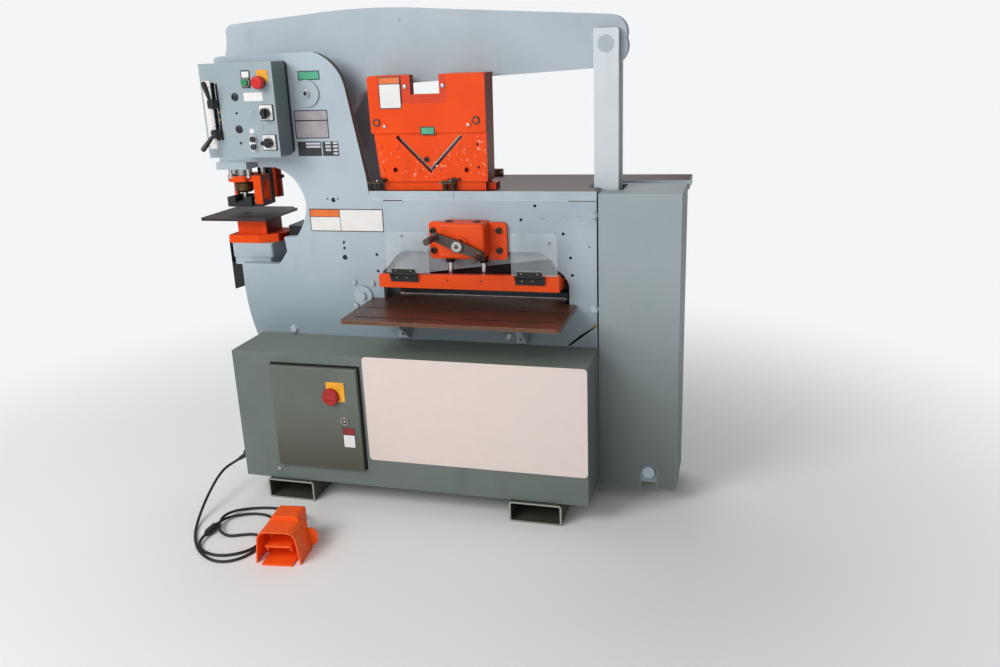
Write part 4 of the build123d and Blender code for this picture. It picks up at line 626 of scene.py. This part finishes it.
class Shape:
    """A mesh that is drawn in millimetres and placed on the machine."""

    def __init__(self, name, paint, body="frame"):
        self.name = name
        self.paint = paint
        self.body = body
        self.mesh = bmesh.new()

    def lathe(self, place, outline, sides=28):
        """A turned piece: outline is its radius and height, from the outside in."""
        rings = []
        for radius, height in outline:
            if radius < 0.01:
                rings.append([self.mesh.verts.new(place @ Vector((0, 0, height * MM)))])
                continue
            ring = []
            for step in range(sides):
                angle = tau * step / sides
                spot = Vector((radius * cos(angle), radius * sin(angle), height)) * MM
                ring.append(self.mesh.verts.new(place @ spot))
            rings.append(ring)
        self.join(rings, sides)

    def join(self, rings, sides):
        for low, high in zip(rings, rings[1:]):
            for step in range(sides):
                after = (step + 1) % sides
                if len(high) == 1:
                    self.mesh.faces.new((low[step], low[after], high[0]))
                elif len(low) == 1:
                    self.mesh.faces.new((low[0], high[after], high[step]))
                else:
                    self.mesh.faces.new((low[step], low[after], high[after], high[step]))

    def close(self, rings):
        """Joins the rings and caps both ends."""
        self.join(rings, len(rings[0]))
        self.mesh.faces.new(rings[-1])
        self.mesh.faces.new(reversed(rings[0]))

    def slab(self, place, outline, thick, edge, lift=0.0):
        """A flat piece of any outline with softened front edges."""
        rings = []
        for inset, height in ((0.0, lift), (0.0, lift + thick - edge), (edge, lift + thick)):
            ring = []
            count = len(outline)
            for step, (x, y) in enumerate(outline):
                bx, by = outline[step - 1]
                ax, ay = outline[(step + 1) % count]
                along = Vector((ax - bx, ay - by))
                inward = Vector((-along.y, along.x)).normalized() * inset
                spot = Vector((x + inward.x, y + inward.y, height)) * MM
                ring.append(self.mesh.verts.new(place @ spot))
            rings.append(ring)
        self.close(rings)

    def tube(self, spots, radius, sides=10):
        """A round bar through the given machine places."""
        rings = []
        spots = [at(*spot) for spot in spots]
        for step, spot in enumerate(spots):
            before = spots[max(step - 1, 0)]
            after = spots[min(step + 1, len(spots) - 1)]
            along = (after - before).normalized()
            turn = along.to_track_quat("Z", "Y").to_matrix()
            ring = []
            for side in range(sides):
                angle = tau * side / sides
                rim = Vector((cos(angle), sin(angle), 0)) * radius * MM
                ring.append(self.mesh.verts.new(spot + turn @ rim))
            rings.append(ring)
        self.close(rings)

    def grip(self, foot, tip, outline, sides=20):
        """A turned piece from one place to another: outline is its radius and the share of the way."""
        start, end = at(*foot), at(*tip)
        place = (end - start).to_track_quat("Z", "Y").to_matrix().to_4x4()
        place.translation = start
        reach = (end - start).length / MM
        self.lathe(place, [(radius, share * reach) for radius, share in outline], sides)

    def done(self):
        bmesh.ops.recalc_face_normals(self.mesh, faces=self.mesh.faces)
        mesh = bpy.data.meshes.new(self.name)
        self.mesh.to_mesh(mesh)
        self.mesh.free()
        mesh.polygons.foreach_set("use_smooth", [True] * len(mesh.polygons))
        mesh.set_sharp_from_angle(angle=SHARP_ANGLE)
        mesh.materials.append(self.paint.material)
        piece = new_object(self.name, mesh)
        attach(piece, self.body)
        return piece


def round_rect(wide, tall, corner, steps=5):
    """Outline of a plate with rounded corners, anticlockwise."""
    outline = []
    for turn, (sx, sy) in enumerate(((1, 1), (-1, 1), (-1, -1), (1, -1))):
        for step in range(steps + 1):
            angle = radians(90 * turn + 90 * step / steps)
            outline.append((sx * (wide / 2 - corner) + corner * cos(angle),
                            sy * (tall / 2 - corner) + corner * sin(angle)))
    return outline


def hexagon(across):
    radius = across / 2 / cos(pi / 6)
    angles = [tau * step / 6 for step in range(6)]
    return [(radius * cos(angle), radius * sin(angle)) for angle in angles]


def hex_bolt(shape, place, across, tall, washer=True, turn=10.0):
    lift = 0.0
    if washer:
        shape.lathe(place, [
            (across * 0.68, -0.4), (across * 0.68, 1.0), (across * 0.64, 1.4), (across * 0.4, 1.4)])
        lift = 1.2
    shape.slab(place @ Matrix.Rotation(radians(turn), 4, "Z"), hexagon(across), tall, across * 0.05,
               lift - 0.4)
    top = lift + tall
    shape.lathe(place, [(across * 0.43, top - 0.8), (across * 0.40, top + 0.1), (0, top + 0.2)])


def socket_screw(shape, place, radius, tall):
    """Cap screw with a six-sided socket sunk into its head."""
    shape.lathe(place, [
        (radius, -0.5), (radius, tall - radius * 0.12), (radius * 0.88, tall), (radius * 0.55, tall)])
    shape.lathe(place, [
        (radius * 0.56, tall), (radius * 0.50, tall - radius * 0.5), (0, tall - radius * 0.5)], 6)


def round_head(shape, place, radius, tall):
    shape.lathe(place, [(radius, -0.4), (radius, tall * 0.3), (radius * 0.86, tall * 0.75),
                        (radius * 0.5, tall), (0, tall * 1.05)])


# Pieces that repeat one form at several machine places

lathe, slab = Shape.lathe, Shape.slab


def fitted(name, paint, spots, draw, *sizes, face="front", body="frame"):
    """One piece that has the same form at each of its machine places."""
    shape = Shape(name, paint, body)
    for spot in spots:
        draw(shape, standing(*spot, face), *sizes)
    return shape.done()


def blank(name, paint, face, x0, x1, z0, z1, corner=1.5, thick=0.8, body="frame"):
    """A blank plate on a front surface, between two places across and two heights."""
    middle = ((x0 + x1) / 2, face, (z0 + z1) / 2)
    outline = round_rect(x1 - x0, z1 - z0, corner)
    fitted(name, paint, [middle], slab, outline, thick, 0.15, body=body)


def hex_bolts(name, paint, bolts):
    """Each bolt is its place, width across flats and height, and where needed its washer and turn."""
    shape = Shape(name, paint)
    for spot, *bolt in bolts:
        hex_bolt(shape, standing(*spot), *bolt)
    shape.done()


def small_holes(name, holes, sides=16):
    """Dark discs that read as drilled holes: each is its place and radius."""
    shape = Shape(name, DARK_HOLE)
    for *spot, radius in holes:
        shape.lathe(standing(*spot), [(radius, -0.2), (radius, 0.15), (0, 0.15)], sides)
    shape.done()


# Front box, its door and the blank placard

def dress_front_box():
    box_face, door_face = -209.0, -225.3
    fitted(
        "front_placard", PLACARD, [(234.5, box_face, 350)], slab, round_rect(731, 360, 14, 8), 1.6, 0.5)
    fitted("box_bolts", ZINC, [(-472, box_face, 105)], round_head, 8, 4.5)

    low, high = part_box("electrical_door")
    left, right = low[0] / MM + CENTRE_X, high[0] / MM + CENTRE_X
    foot, head = low[2] / MM, high[2] / MM
    blank("door_seal_top", DARK_HOLE, box_face, left, right + 8, head - 2, head + 7, 1.0, 1.2)
    blank("door_seal_right", DARK_HOLE, box_face, right - 2, right + 8, foot, head - 2, 1.0, 1.2)

    blank("disconnect_plate", YELLOW, door_face, -257, -193, 376, 443, 2.0, 2.4, "door")
    corners = [(x, door_face - 2.4, z) for x in (-252, -198) for z in (381, 438)]
    fitted("disconnect_screws", ZINC, corners, round_head, 2.4, 1.2, body="door")
    knob = Shape("disconnect_knob_round", KNOB, "door_knob")
    place = standing(-241, door_face, 394)
    knob.lathe(place, [(27.5, 0.4), (29, 4), (29, 11), (27, 15), (22, 16), (0, 16)], 40)
    knob.slab(place, round_rect(50, 14, 5), 9, 2.0, 13)
    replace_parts(knob.done(), "disconnect_knob")
    fitted(
        "door_lock_ring", OXIDE, [(-202, door_face - 4, 309)], lathe,
        [(9.5, -0.4), (9.5, 0.7), (8.8, 1.2), (5.4, 1.2), (5.0, 0.2)], 28, body="door_latch")
    blank("door_label_rim", DARK_LABEL, door_face, -213, -170, 214, 286, 2.0, 0.4, "door")
    blank("door_label_top", RED_LABEL, door_face, -211, -172, 261, 284, 1.0, 0.8, "door")
    blank("door_label", WHITE, door_face, -211, -172, 216, 259, 1.0, 0.8, "door")


# Frame plates: bolts, caps and blank plates

def dress_frame():
    hex_bolts("plate_bolts", GREY, (
        ((587, 0, 955), 20, 8), ((588, 0, 656), 20, 8), ((-474, 0, 545), 22, 8),
        ((-228, 0, 721), 15, 7, False, 20), ((-162, 0, 719), 15, 7, False, 20),
        ((-228, 0, 640), 15, 7, False, 20)))
    beam_cap, arm_cap = (-336, -6, 1340), (-199, -6, 676)
    hex_bolts("pivot_cap_nuts", OXIDE, ((beam_cap, 16, 8, False, 24), (arm_cap, 18, 9, False, 14)))
    fitted(
        "pivot_cap_washers", ZINC, (beam_cap, arm_cap), lathe,
        [(13, -0.3), (13, 1.4), (12, 2.0), (6, 2.0)])

    blank("head_green_label_rim", DARK_LABEL, 0, -363, -287, 1380.5, 1409.5, 2.5, 0.4)
    blank("head_green_label", GREEN_LABEL, 0, -360, -290, 1383.5, 1406.5)
    blank("nameplate_border", DARK_LABEL, 0, -391, -272, 1198, 1288, 2.0, 0.5)
    blank("nameplate_top", SILVER, 0, -388, -275, 1257, 1285, 1.0)
    blank("nameplate_field", SILVER, 0, -388, -275, 1201, 1253, 1.0)
    blank("data_plate_left", DARK_LABEL, 0, -388, -304, 1142, 1189, 1.0, 0.5)
    blank("data_plate_right", DARK_LABEL, 0, -300, -243, 1142, 1188, 1.0, 0.5)
    for name, x0, x1, rows in (
            ("left", -358, -307, (1182, 1172)), ("middle", -289, -270, (1183, 1172, 1161)),
            ("right", -262, -246, (1183, 1172, 1161, 1150))):
        for row, height in enumerate(rows):
            blank(f"data_field_{name}_{row}", LILAC, -0.4, x0, x1, height - 3.4, height + 3.4, 0.6, 0.5)

    blank("throat_plate_rim", DARK_LABEL, 0, -371, -107, 893, 969, 3.0, 0.4)
    blank("throat_plate_band", ORANGE_LABEL, 0, -368, -262, 943, 966)
    blank("throat_plate_left", WHITE, 0, -368, -262, 896, 941)
    blank("throat_plate_right", WHITE, 0, -260, -110, 896, 966)

    # openings and dark joints that show only as thin lines
    blank("lip_gap_left", DARK_HOLE, 0, -103, -37, 996.6, 999.4, 0.8, 0.5)
    blank("lip_gap_right", DARK_HOLE, 0, 508, 594, 997.6, 999.8, 0.8, 0.5)
    blank("lip_seam", DARK_HOLE, 0, 138.5, 139.7, 1001, 1027, 0.5, 0.25)
    small_holes("plate_small_holes", (
        (-300, 0, 1002, 3), (-263, 0, 1002, 3), (-256, 0, 854, 3.2), (-256, 0, 835.5, 3.2)), 14)
    blank("ring_bolt_line_top", DARK_HOLE, 0, 284, 326, 562, 563.6, 0.6, 0.3)
    blank("ring_bolt_line_side", DARK_HOLE, 0, 324.6, 326, 526, 562, 0.6, 0.3)
    fitted("deck_strip_bracket", OLIVE, [(185, 372, 1040)], slab, round_rect(40, 23, 3), 14, 1.0)
    hex_bolts("deck_strip_bolt", ZINC, [((202, 358, 1037), 13, 6, False)])
    hex_bolts("plate_ring_bolt", ZINC, [((304, 0, 549), 17, 7, True, 30)])
    fitted(
        "cabinet_slot_lip", CABINET, [(684, 140, 1019)], slab, round_rect(35, 133, 1), 3.0, 0.4,
        face="up")
    pin = Shape("front_plate_brass_pin", BRASS)
    pin.tube([(580, -3, 596), (597, -3, 606)], 2.4)
    pin.done()
    fitted(
        "cabinet_pin_cover", CABINET, [(765, -3.3, 109)], lathe,
        [(22, -0.3), (22, 1.6), (20.5, 3.0), (0, 3.2)], 40)


# Control box

def dress_controls():
    face = -100.0
    blank("estop_plate", YELLOW, face, -452, -413.5, 1383, 1418, 2.0, 1.6)
    collars = Shape("button_collars", BLACK_PLASTIC)
    collars.lathe(standing(-440, face, 1381), [(17, 1), (17, 8), (15, 11), (8, 11)])
    collars.slab(standing(-491, face, 1392), round_rect(32, 54, 6), 1.4, 0.4)
    collars.done()
    fitted(
        "start_ring", SILVER, [(-492, face, 1382)], lathe,
        [(15, -0.3), (15, 4), (13.9, 5.5), (11.5, 5.5), (11.5, 0.2)])
    blank("start_legend", WHITE, face - 1.3, -503.5, -478.5, 1397, 1415, 1.5, 0.6)

    white = Shape("switch_plates", WHITE)
    dark = Shape("switch_plate_rims", BLACK_PLASTIC)
    ticks = Shape("switch_ticks", DARK_LABEL)
    switch_x, tick_across, tick_up = -433, 18.0, 18.5
    for z, marks in ((1288, (-40, 40)), (1196, (-40, 0, 40))):
        dark.slab(standing(switch_x + 2.5, face, z + 0.5), round_rect(50, 50, 3), 1.0, 0.3)
        white.slab(standing(switch_x, face, z + 1), round_rect(44, 46, 3), 1.8, 0.4)
        dark.lathe(standing(switch_x, face, z), [(15, 1.5), (15, 4.5), (13, 6), (8.5, 6)])
        for mark in marks:
            x = switch_x + tick_across * sin(radians(mark))
            up = z + tick_up * cos(radians(mark))
            ticks.slab(standing(x, face - 1.8, up, turn=-mark), round_rect(1.6, 4, 0.5), 0.3, 0.1)
    white.done()
    dark.done()
    ticks.done()

    fitted("jog_oval", LILAC, [(-489.5, face, 1195.5)], slab, round_rect(27, 55, 13, 8), 2.6, 0.7)
    blank("jog_middle", WHITE, face - 2.4, -500, -479, 1192.2, 1198.8, 2.0, 6.5)
    blank("jog_legend", WHITE, face, -499, -483.5, 1226.5, 1240, 2.0, 0.5)

    fitted("stroke_scale", WHITE, [(-635, face, 1285)], slab, round_rect(27, 212, 2), 0.9, 0.2)
    marks = Shape("stroke_scale_marks", DARK_LABEL)
    scale_edge, scale_foot = -624, 1195
    for step in range(37):
        wide = 9 if step % 5 == 0 else 5
        place = standing(scale_edge - wide / 2, face - 0.9, scale_foot + step * 5)
        marks.slab(place, round_rect(wide, 1.1, 0.3), 0.2, 0.05)
    marks.done()

    fitted("slot_rails", ZINC, [(-620.5, face, 1295)], slab, round_rect(2.2, 184, 1), 0.5, 0.2)
    blank("slot_shadow", DARK_HOLE, face, -603.5, -595, 1206, 1382, 1.0, 0.6)
    fitted("slot_inner_screws", BRASS, [(-600.2, face, z) for z in (1293, 1269)], round_head, 3.8, 0.95)

    lever_x = -611
    for name, z, tip in (("upper", 1322.0, (-613, -148, 1389)), ("lower", 1229.0, (-649, -148, 1176.5))):
        lever = Shape("stop_grip_" + name, GLOSS_BLACK, name + "_stop")
        lever.slab(standing(lever_x - 2, face + 1, z - 3), round_rect(32, 27, 4), 16.4, 1.5, 2.3)
        lever.lathe(standing(lever_x, -117, z), [(12, -2), (12, 9), (10.5, 11.5), (5, 12), (0, 12)])
        lever.grip((lever_x, -123, z), tip, [
            (5.5, -0.02), (5.0, 0.12), (6.2, 0.30), (7.8, 0.62), (8.4, 0.86), (7.4, 0.96), (4.2, 1.0),
            (0, 1.01)])
        lever.grip((lever_x, face + 14, z), (lever_x, face - 4, z), [(6, 0), (6, 1), (0, 1)])
        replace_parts(lever.done(), "stop_lever_" + name)

    plugs = ((-537, face, 1339), (-535.5, face, 1239))
    fitted(
        "control_plugs", BLACK_PLASTIC, plugs, lathe,
        [(12.5, -0.3), (12.5, 1.2), (11, 3.4), (9, 3.9), (8, 2.6)])
    fitted("plug_cores", GLOSS_BLACK, plugs, lathe, [(8.2, 2.4), (7.6, 3.4), (3, 4.2), (0, 4.2)])
    fitted(
        "control_blanks", CONTROL, ((-485, face, 1289), (-457, face, 1245)), lathe,
        [(11, -0.3), (11, 0.9), (10, 1.7), (0, 1.9)], 32)
    small_holes("control_holes", ((-537.5, face, 1289, 4.2), (-535, face, 1195.5, 4.2)))
    blank("control_tag", WHITE, face, -505, -439, 1325, 1351, 2.0, 0.9)


# Angle shear housing

def dress_housing():
    cover, recess, wall = 7.0, 10.0, 14.0
    ring_bolts = ((-107, cover, 1243.5), (222, cover, 1245.5))
    fitted(
        "housing_ring_bolts", CRANK, ring_bolts, lathe,
        [(12.5, -0.3), (12.5, 3.4), (11, 5), (8.6, 5), (8, 1.5)])
    fitted(
        "housing_ring_centres", ORANGE_CAST, ring_bolts, lathe,
        [(8.6, 0.8), (7.6, 3.2), (3, 3.9), (0, 3.9)])
    small = Shape("housing_small_bolts", ZINC)
    for x, z in ((-81, 1231), (197, 1232)):
        round_head(small, standing(x, cover, z), 6.0, 4)
    for x, z in ((-5, 1351), (119.6, 1351)):
        round_head(small, standing(x, recess, z), 7.5, 5)
    small.done()
    fitted(
        "housing_small_collar", ORANGE_CAST, [(197, cover, 1232)], lathe,
        [(9.5, -0.3), (9.5, 1.6), (8.5, 2.4), (5.5, 2.4)], 24)
    blank("housing_label_rim", DARK_LABEL, cover, 38.5, 87, 1203.5, 1229, 2.5, 0.4)
    blank("housing_label", GREEN_LABEL, cover, 42, 83.5, 1206.5, 1226, 1.5, 0.9)
    blank("housing_tab_line", ORANGE_CAST, cover, 22, 100, 1232, 1234, 0.9, 0.9)
    blank("housing_tab_side", ORANGE_CAST, cover, 98, 100, 1234, 1251, 0.9, 0.9)
    blank("housing_tag_rim", DARK_LABEL, cover, -92.5, -18.5, 1285, 1383, 3.0, 0.4)
    blank("housing_tag_band", ORANGE_LABEL, cover, -89.5, -21.5, 1362, 1380)
    blank("housing_tag", WHITE, cover, -89.5, -21.5, 1288, 1359.5)
    # Darker orange sheets on the floor of the window recess.
    blank("window_panel_left", ORANGE_RECESS, recess, -21, 11.5, 1302, 1385, 0.4, 0.4)
    blank("window_panel_right", ORANGE_RECESS, recess, 107.5, 129, 1302, 1385, 0.4, 0.4)
    blank("window_panel_foot", ORANGE_RECESS, recess, 11.5, 107.5, 1302, 1326.5, 0.4, 0.4)

    liners = Shape("slot_liners", GROUND)
    place = standing(0, 40.5, 0)
    liners.slab(place, [(63.2, 1100.4), (65.4, 1098.2), (168.2, 1201.6), (166.0, 1203.4)], 25.5, 0.3)
    liners.slab(place, [(63.0, 1084.0), (66.0, 1087.0), (-44.6, 1197.8), (-47.8, 1195.0)], 7, 0.3)
    liners.done()

    studs = Shape("clamp_studs", OXIDE)
    for x in (-150, -118, 110, 134.5):
        studs.lathe(standing(x, 9, 1028.2, "up"), [(6.5, 0), (6.5, 23), (5, 24), (0, 24)], 20)
    for x in (-104, 132):
        studs.slab(standing(x, 9, 1056, "up"), hexagon(24), 9, 1.0)
    studs.done()
    strips = ((-135, 8, 1051.5), (117, 8, 1051.5))
    fitted("clamp_strips", OLIVE, strips, slab, round_rect(50, 12, 2), 4.5, 0.8, face="up")
    fitted("clamp_screws", ZINC, ((-118, 0, 1061), (131, 0, 1061)), round_head, 3.6, 3)
    fitted("housing_plug", OXIDE, [(51.7, wall, 1127)], socket_screw, 8.5, 5)
    small_holes("housing_small_holes", ((221.5, wall, 1172, 4.2), (222, wall, 1101, 4.2)))
    dowels = ((-104, 1166), (-44.6, 1167), (160, 1166), (-103, 1096), (25, 1095), (90, 1096))
    fitted(
        "housing_dowels", ORANGE_CAST, [(x, wall, z) for x, z in dowels], lathe,
        [(8.5, -0.3), (8.5, 1.2), (7, 2.2), (0, 2.4)], 20)


# Hold-down gearbox, crank and guards

def dress_hold_down():
    gearbox_face, gearbox_top, bar_face = -14, 938, -60
    screws = [(x, gearbox_face, z) for x, z in ((288, 907), (288, 843), (68, 904), (68, 840))]
    fitted("gearbox_screws", OXIDE, screws, socket_screw, 10, 9)
    fitted(
        "gearbox_vents", BLACK, [(x, -36, gearbox_top) for x in (132, 224)], lathe,
        [(13, -0.3), (13, 1.2), (12, 2.4), (6, 2.4), (5, 1.0), (0, 1.0)], face="up")
    rods = ((124, -20, 0), (236, -20, 0))
    fitted(
        "rod_sleeves", CHROME, rods, lathe, [(9.05, 762), (9.05, 899)], 48, face="up", body="hold_down")
    fitted(
        "rod_glands", OXIDE, rods, lathe,
        [(9.4, 826.4), (9.4, 806), (12.5, 804), (14.5, 808), (14.5, 826.4)], 32, face="up")

    crank_x, crank_z, crank_arm, crank_lean = 176, 872, 78, radians(21.0)
    handle_length, handle_seat = 84, 7
    front = (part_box("hold_down_crank")[0][1] / MM + CENTRE_Y) + handle_length - handle_seat
    cap = (crank_x, front - 6, crank_z)
    fitted(
        "crank_cap", ZINC, [cap], lathe,
        [(17, -2), (17, 1.6), (15.5, 3.0), (8.6, 3.0), (7.6, 0.4), (0, 0.4)], 32, body="crank")
    fitted("crank_bolt", CRANK, [cap], slab, hexagon(11), 2.4, 0.4, 0.2, body="crank")
    across, down = crank_arm * cos(crank_lean), crank_arm * sin(crank_lean)
    grips = [(crank_x + side * across, front, crank_z - side * down) for side in (-1, 1)]
    fitted(
        "crank_grips", CRANK, grips, lathe, [(12.5, -2), (13, 5), (12, 9), (8.5, 10.5), (7.6, 10.5)], 24,
        body="crank")

    hinge_y, hinge_z, hinge_radius = -69, 771, 4.2
    for side, left in (("left", -80.0), ("right", 338.0)):
        body = side + "_guard"
        middle, start, end = left + 58, left + 18, left + 98
        leaf = Shape(side + "_guard_leaf", CHUTE, body)
        leaf.slab(standing(middle, -70.2, 781.5), round_rect(80, 13, 1), 1.2, 0.3)
        leaf.tube([(start, hinge_y, hinge_z), (end, hinge_y, hinge_z)], hinge_radius, 16)
        leaf.done()
        screws = ((left + 32, -71.4, 782), (left + 84, -71.4, 782))
        fitted(side + "_guard_screws", BRASS, screws, round_head, 2.8, 1.6, body=body)
        fixed = Shape(side + "_hinge_leaf", CHUTE, "hold_down")
        fixed.slab(standing(middle, -63, 755), round_rect(96, 21, 1), 1.0, 0.3)
        for x0, x1 in ((start - 8.2, start - 0.2), (end + 0.2, end + 8.2)):
            fixed.tube([(x0, hinge_y, hinge_z), (x1, hinge_y, hinge_z)], hinge_radius, 16)
            fixed.slab(standing((x0 + x1) / 2, hinge_y, 764.5), round_rect(8, 13, 0.5), 1.0, 0.3)
        fixed.done()
        screws = ((left + 32, -64, 757), (left + 66, -64, 757))
        fitted(side + "_hinge_screws", BRASS, screws, round_head, 2.6, 1.4, body="hold_down")
    fitted(
        "bar_dowels", OXIDE, ((124, bar_face, 752), (236, bar_face, 752)), lathe,
        [(3.2, -0.2), (3.2, 0.2), (0, 0.2)], 14, body="hold_down")


# Flat shear: its feed table, lower blade and mouth

def dress_flat_shear():
    table_top = 669
    slots = Shape("table_slot_shadows", DARK_HOLE)
    for x0, x1, y in ((-135, 165, -226), (205, 500, -206), (-140, 150, -118), (203, 490, -96)):
        place = standing((x0 + x1) / 2, y, table_top - 0.1, "up")
        slots.slab(place, round_rect(x1 - x0, 8, 3.9), 0.3, 0.05)
    slots.done()
    screws = ((-30, -38), (21, -31), (173, -24), (324, -19), (375, -24), (-88, -63), (-82, -176),
              (-146, -175))
    fitted("table_screws", ZINC, [(x, y, table_top) for x, y in screws], round_head, 3.4, 0.8, face="up")
    fitted("lower_blade_edge", GROUND, [(198, 62, 671.4)], slab, round_rect(578, 4.6, 1.0), 2.2, 0.8)
    # A dark sheet on the rear plate that paints the shade seen through the blade slot.
    fitted(
        "rear_slot_end_cover", DARK_HOLE, [(458, 251.6, 692)], slab, round_rect(106, 106, 2), 2.0, 0.4)
    # A dark sheet that paints the shade in the shear mouth.
    fitted("shear_mouth_liner", DARK_HOLE, [(518, 66, 735)], slab, round_rect(56, 130, 2), 3.0, 0.5)


# Punch station

def dress_punch():
    ram_x, ram_y = -688, 140.0
    studs = [(ram_x + dx, ram_y + dy, 1057) for dx, dy in ((-41, 34), (42, -34), (62, 28), (-20, -46))]
    fitted(
        "stripper_studs", CHROME, studs, lathe, [(10, -0.4), (10, 8), (7.4, 9), (7.4, 31.5)], 20,
        face="up")
    hex_bolts("stripper_nuts", ZINC, (
        ((-633, ram_y - 26.1, 975), 12, 5, False), ((-633, ram_y + 26, 975), 12, 5, False)))
    fitted(
        "post_knob", OXIDE, [(-588.5, 226.0, 1046.6)], lathe, [(7, -1), (7, 9), (5.5, 11), (0, 11)], 20,
        face="right")
    grooves = [(ram_x, ram_y, z) for z in (1012, 1020, 1038)]
    fitted(
        "nut_grooves", NUT, grooves, lathe, [(33.2, -1.2), (34.2, -0.4), (34.2, 0.6), (33.2, 1.4)], 36,
        face="up", body="punch_nut")


# Pedal and cord pieces

def dress_pedal():
    pedal_x, pedal_y, pedal_back, turn = -272, -609, 172, radians(7.0)
    inlet = (pedal_x - pedal_back * sin(turn), pedal_y + pedal_back * cos(turn), 36)
    relief = fitted(
        "pedal_relief", BLACK_PLASTIC, [inlet], lathe,
        [(10, -8), (10, -2), (8, 0), (7.6, 3), (8, 4), (7, 8), (7.4, 9), (5.4, 13), (4.4, 14)], 20,
        face="back")
    ribs = [(-580, -464 - step * 6, 12) for step in range(5)]
    connector = fitted(
        "connector_ribs", BLACK_PLASTIC, ribs, lathe,
        [(11.2, -1.6), (11.9, -1.0), (11.9, 1.0), (11.2, 1.6)], 24, face="back")
    return relief, connector


# Floor, lights and background

BACKDROP = rgb(244, 245, 246)
SKY_LIGHT = 0.31
FLOOR_CORNERS = ((-14, -9), (14, -9), (14, 16), (-14, 16))


def paint_floor():
    """Matt near the machine. Far away it takes the backdrop's colour, so that no horizon shows."""
    paint = Paint("pale_floor", "grey_paint")
    clouds = paint.noise(1.2, 3.0)
    colour = paint.mix(rgb(246, 246, 245), rgb(240, 240, 239), clouds)
    lit = paint.node("BsdfPrincipled", {
        "Base Color": colour, "Roughness": 0.62 + 0.1 * clouds,
        "Normal": paint.node("Bump", {"Height": clouds, "Distance": 0.0001}).outputs[0]})
    plain = paint.node("Emission", {"Color": BACKDROP, "Strength": 1.0})
    path = paint.node("LightPath")
    seen = Value(paint, path.outputs["Is Camera Ray"]).most(Value(paint, path.outputs["Is Glossy Ray"]))
    seen = seen.most(Value(paint, path.outputs["Is Transmission Ray"]))
    away = paint.node("VectorMath", {0: paint.place}, operation="LENGTH")
    far = Value(paint, away.outputs["Value"]).spread(0.9, 2.8)
    blend = paint.node("MixShader", {0: far * seen, 1: lit.outputs[0], 2: plain.outputs[0]})
    paint.node("OutputMaterial", {0: blend.outputs[0]})
    return paint


def set_floor():
    outline = bmesh.new()
    outline.faces.new([outline.verts.new((x, y, 0)) for x, y in FLOOR_CORNERS])
    mesh = bpy.data.meshes.new("floor")
    outline.to_mesh(mesh)
    outline.free()
    mesh.materials.append(paint_floor().material)
    new_object("floor", mesh)


def set_lights():
    for name, spot, aim, size, power in (
            ("key_light", (-1.9, -2.9, 3.0), (0.0, 0.0, 0.8), 2.0, 97),
            ("fill_light", (-0.2, -4.2, 1.7), (0.0, 0.0, 0.7), 2.4, 47),
            ("back_light", (-0.6, 2.6, 3.2), (0.0, 0.0, 0.9), 2.6, 40)):
        data = bpy.data.lights.new(name, "AREA")
        data.shape = "SQUARE"
        data.size = size
        data.energy = power
        lamp = new_object(name, data)
        lamp.location = spot
        lamp.rotation_euler = (Vector(aim) - Vector(spot)).to_track_quat("-Z", "Y").to_euler()


def set_world():
    """The camera sees the backdrop at full strength, while the machine is lit by less of it."""
    world = bpy.data.worlds.new("studio")
    bpy.context.scene.world = world
    world.use_nodes = True
    tree = world.node_tree
    tree.nodes.clear()
    path = new_node(tree, "LightPath")
    level = new_node(tree, "MapRange", {
        "Value": path.outputs["Is Camera Ray"], "To Min": SKY_LIGHT, "To Max": 1.0})
    sky = new_node(tree, "Background", {"Color": BACKDROP, "Strength": level.outputs[0]})
    new_node(tree, "OutputWorld", {0: sky.outputs[0]})


dress_front_box()
dress_frame()
dress_controls()
dress_housing()
dress_hold_down()
dress_flat_shear()
dress_punch()
pedal_relief, connector_ribs = dress_pedal()
set_floor()
set_lights()
set_world()

at(*GLAND_TIP)
at(-580, -518, 12)

bpy.context.scene.view_settings.view_transform = "Standard"
bpy.context.view_layer.update()
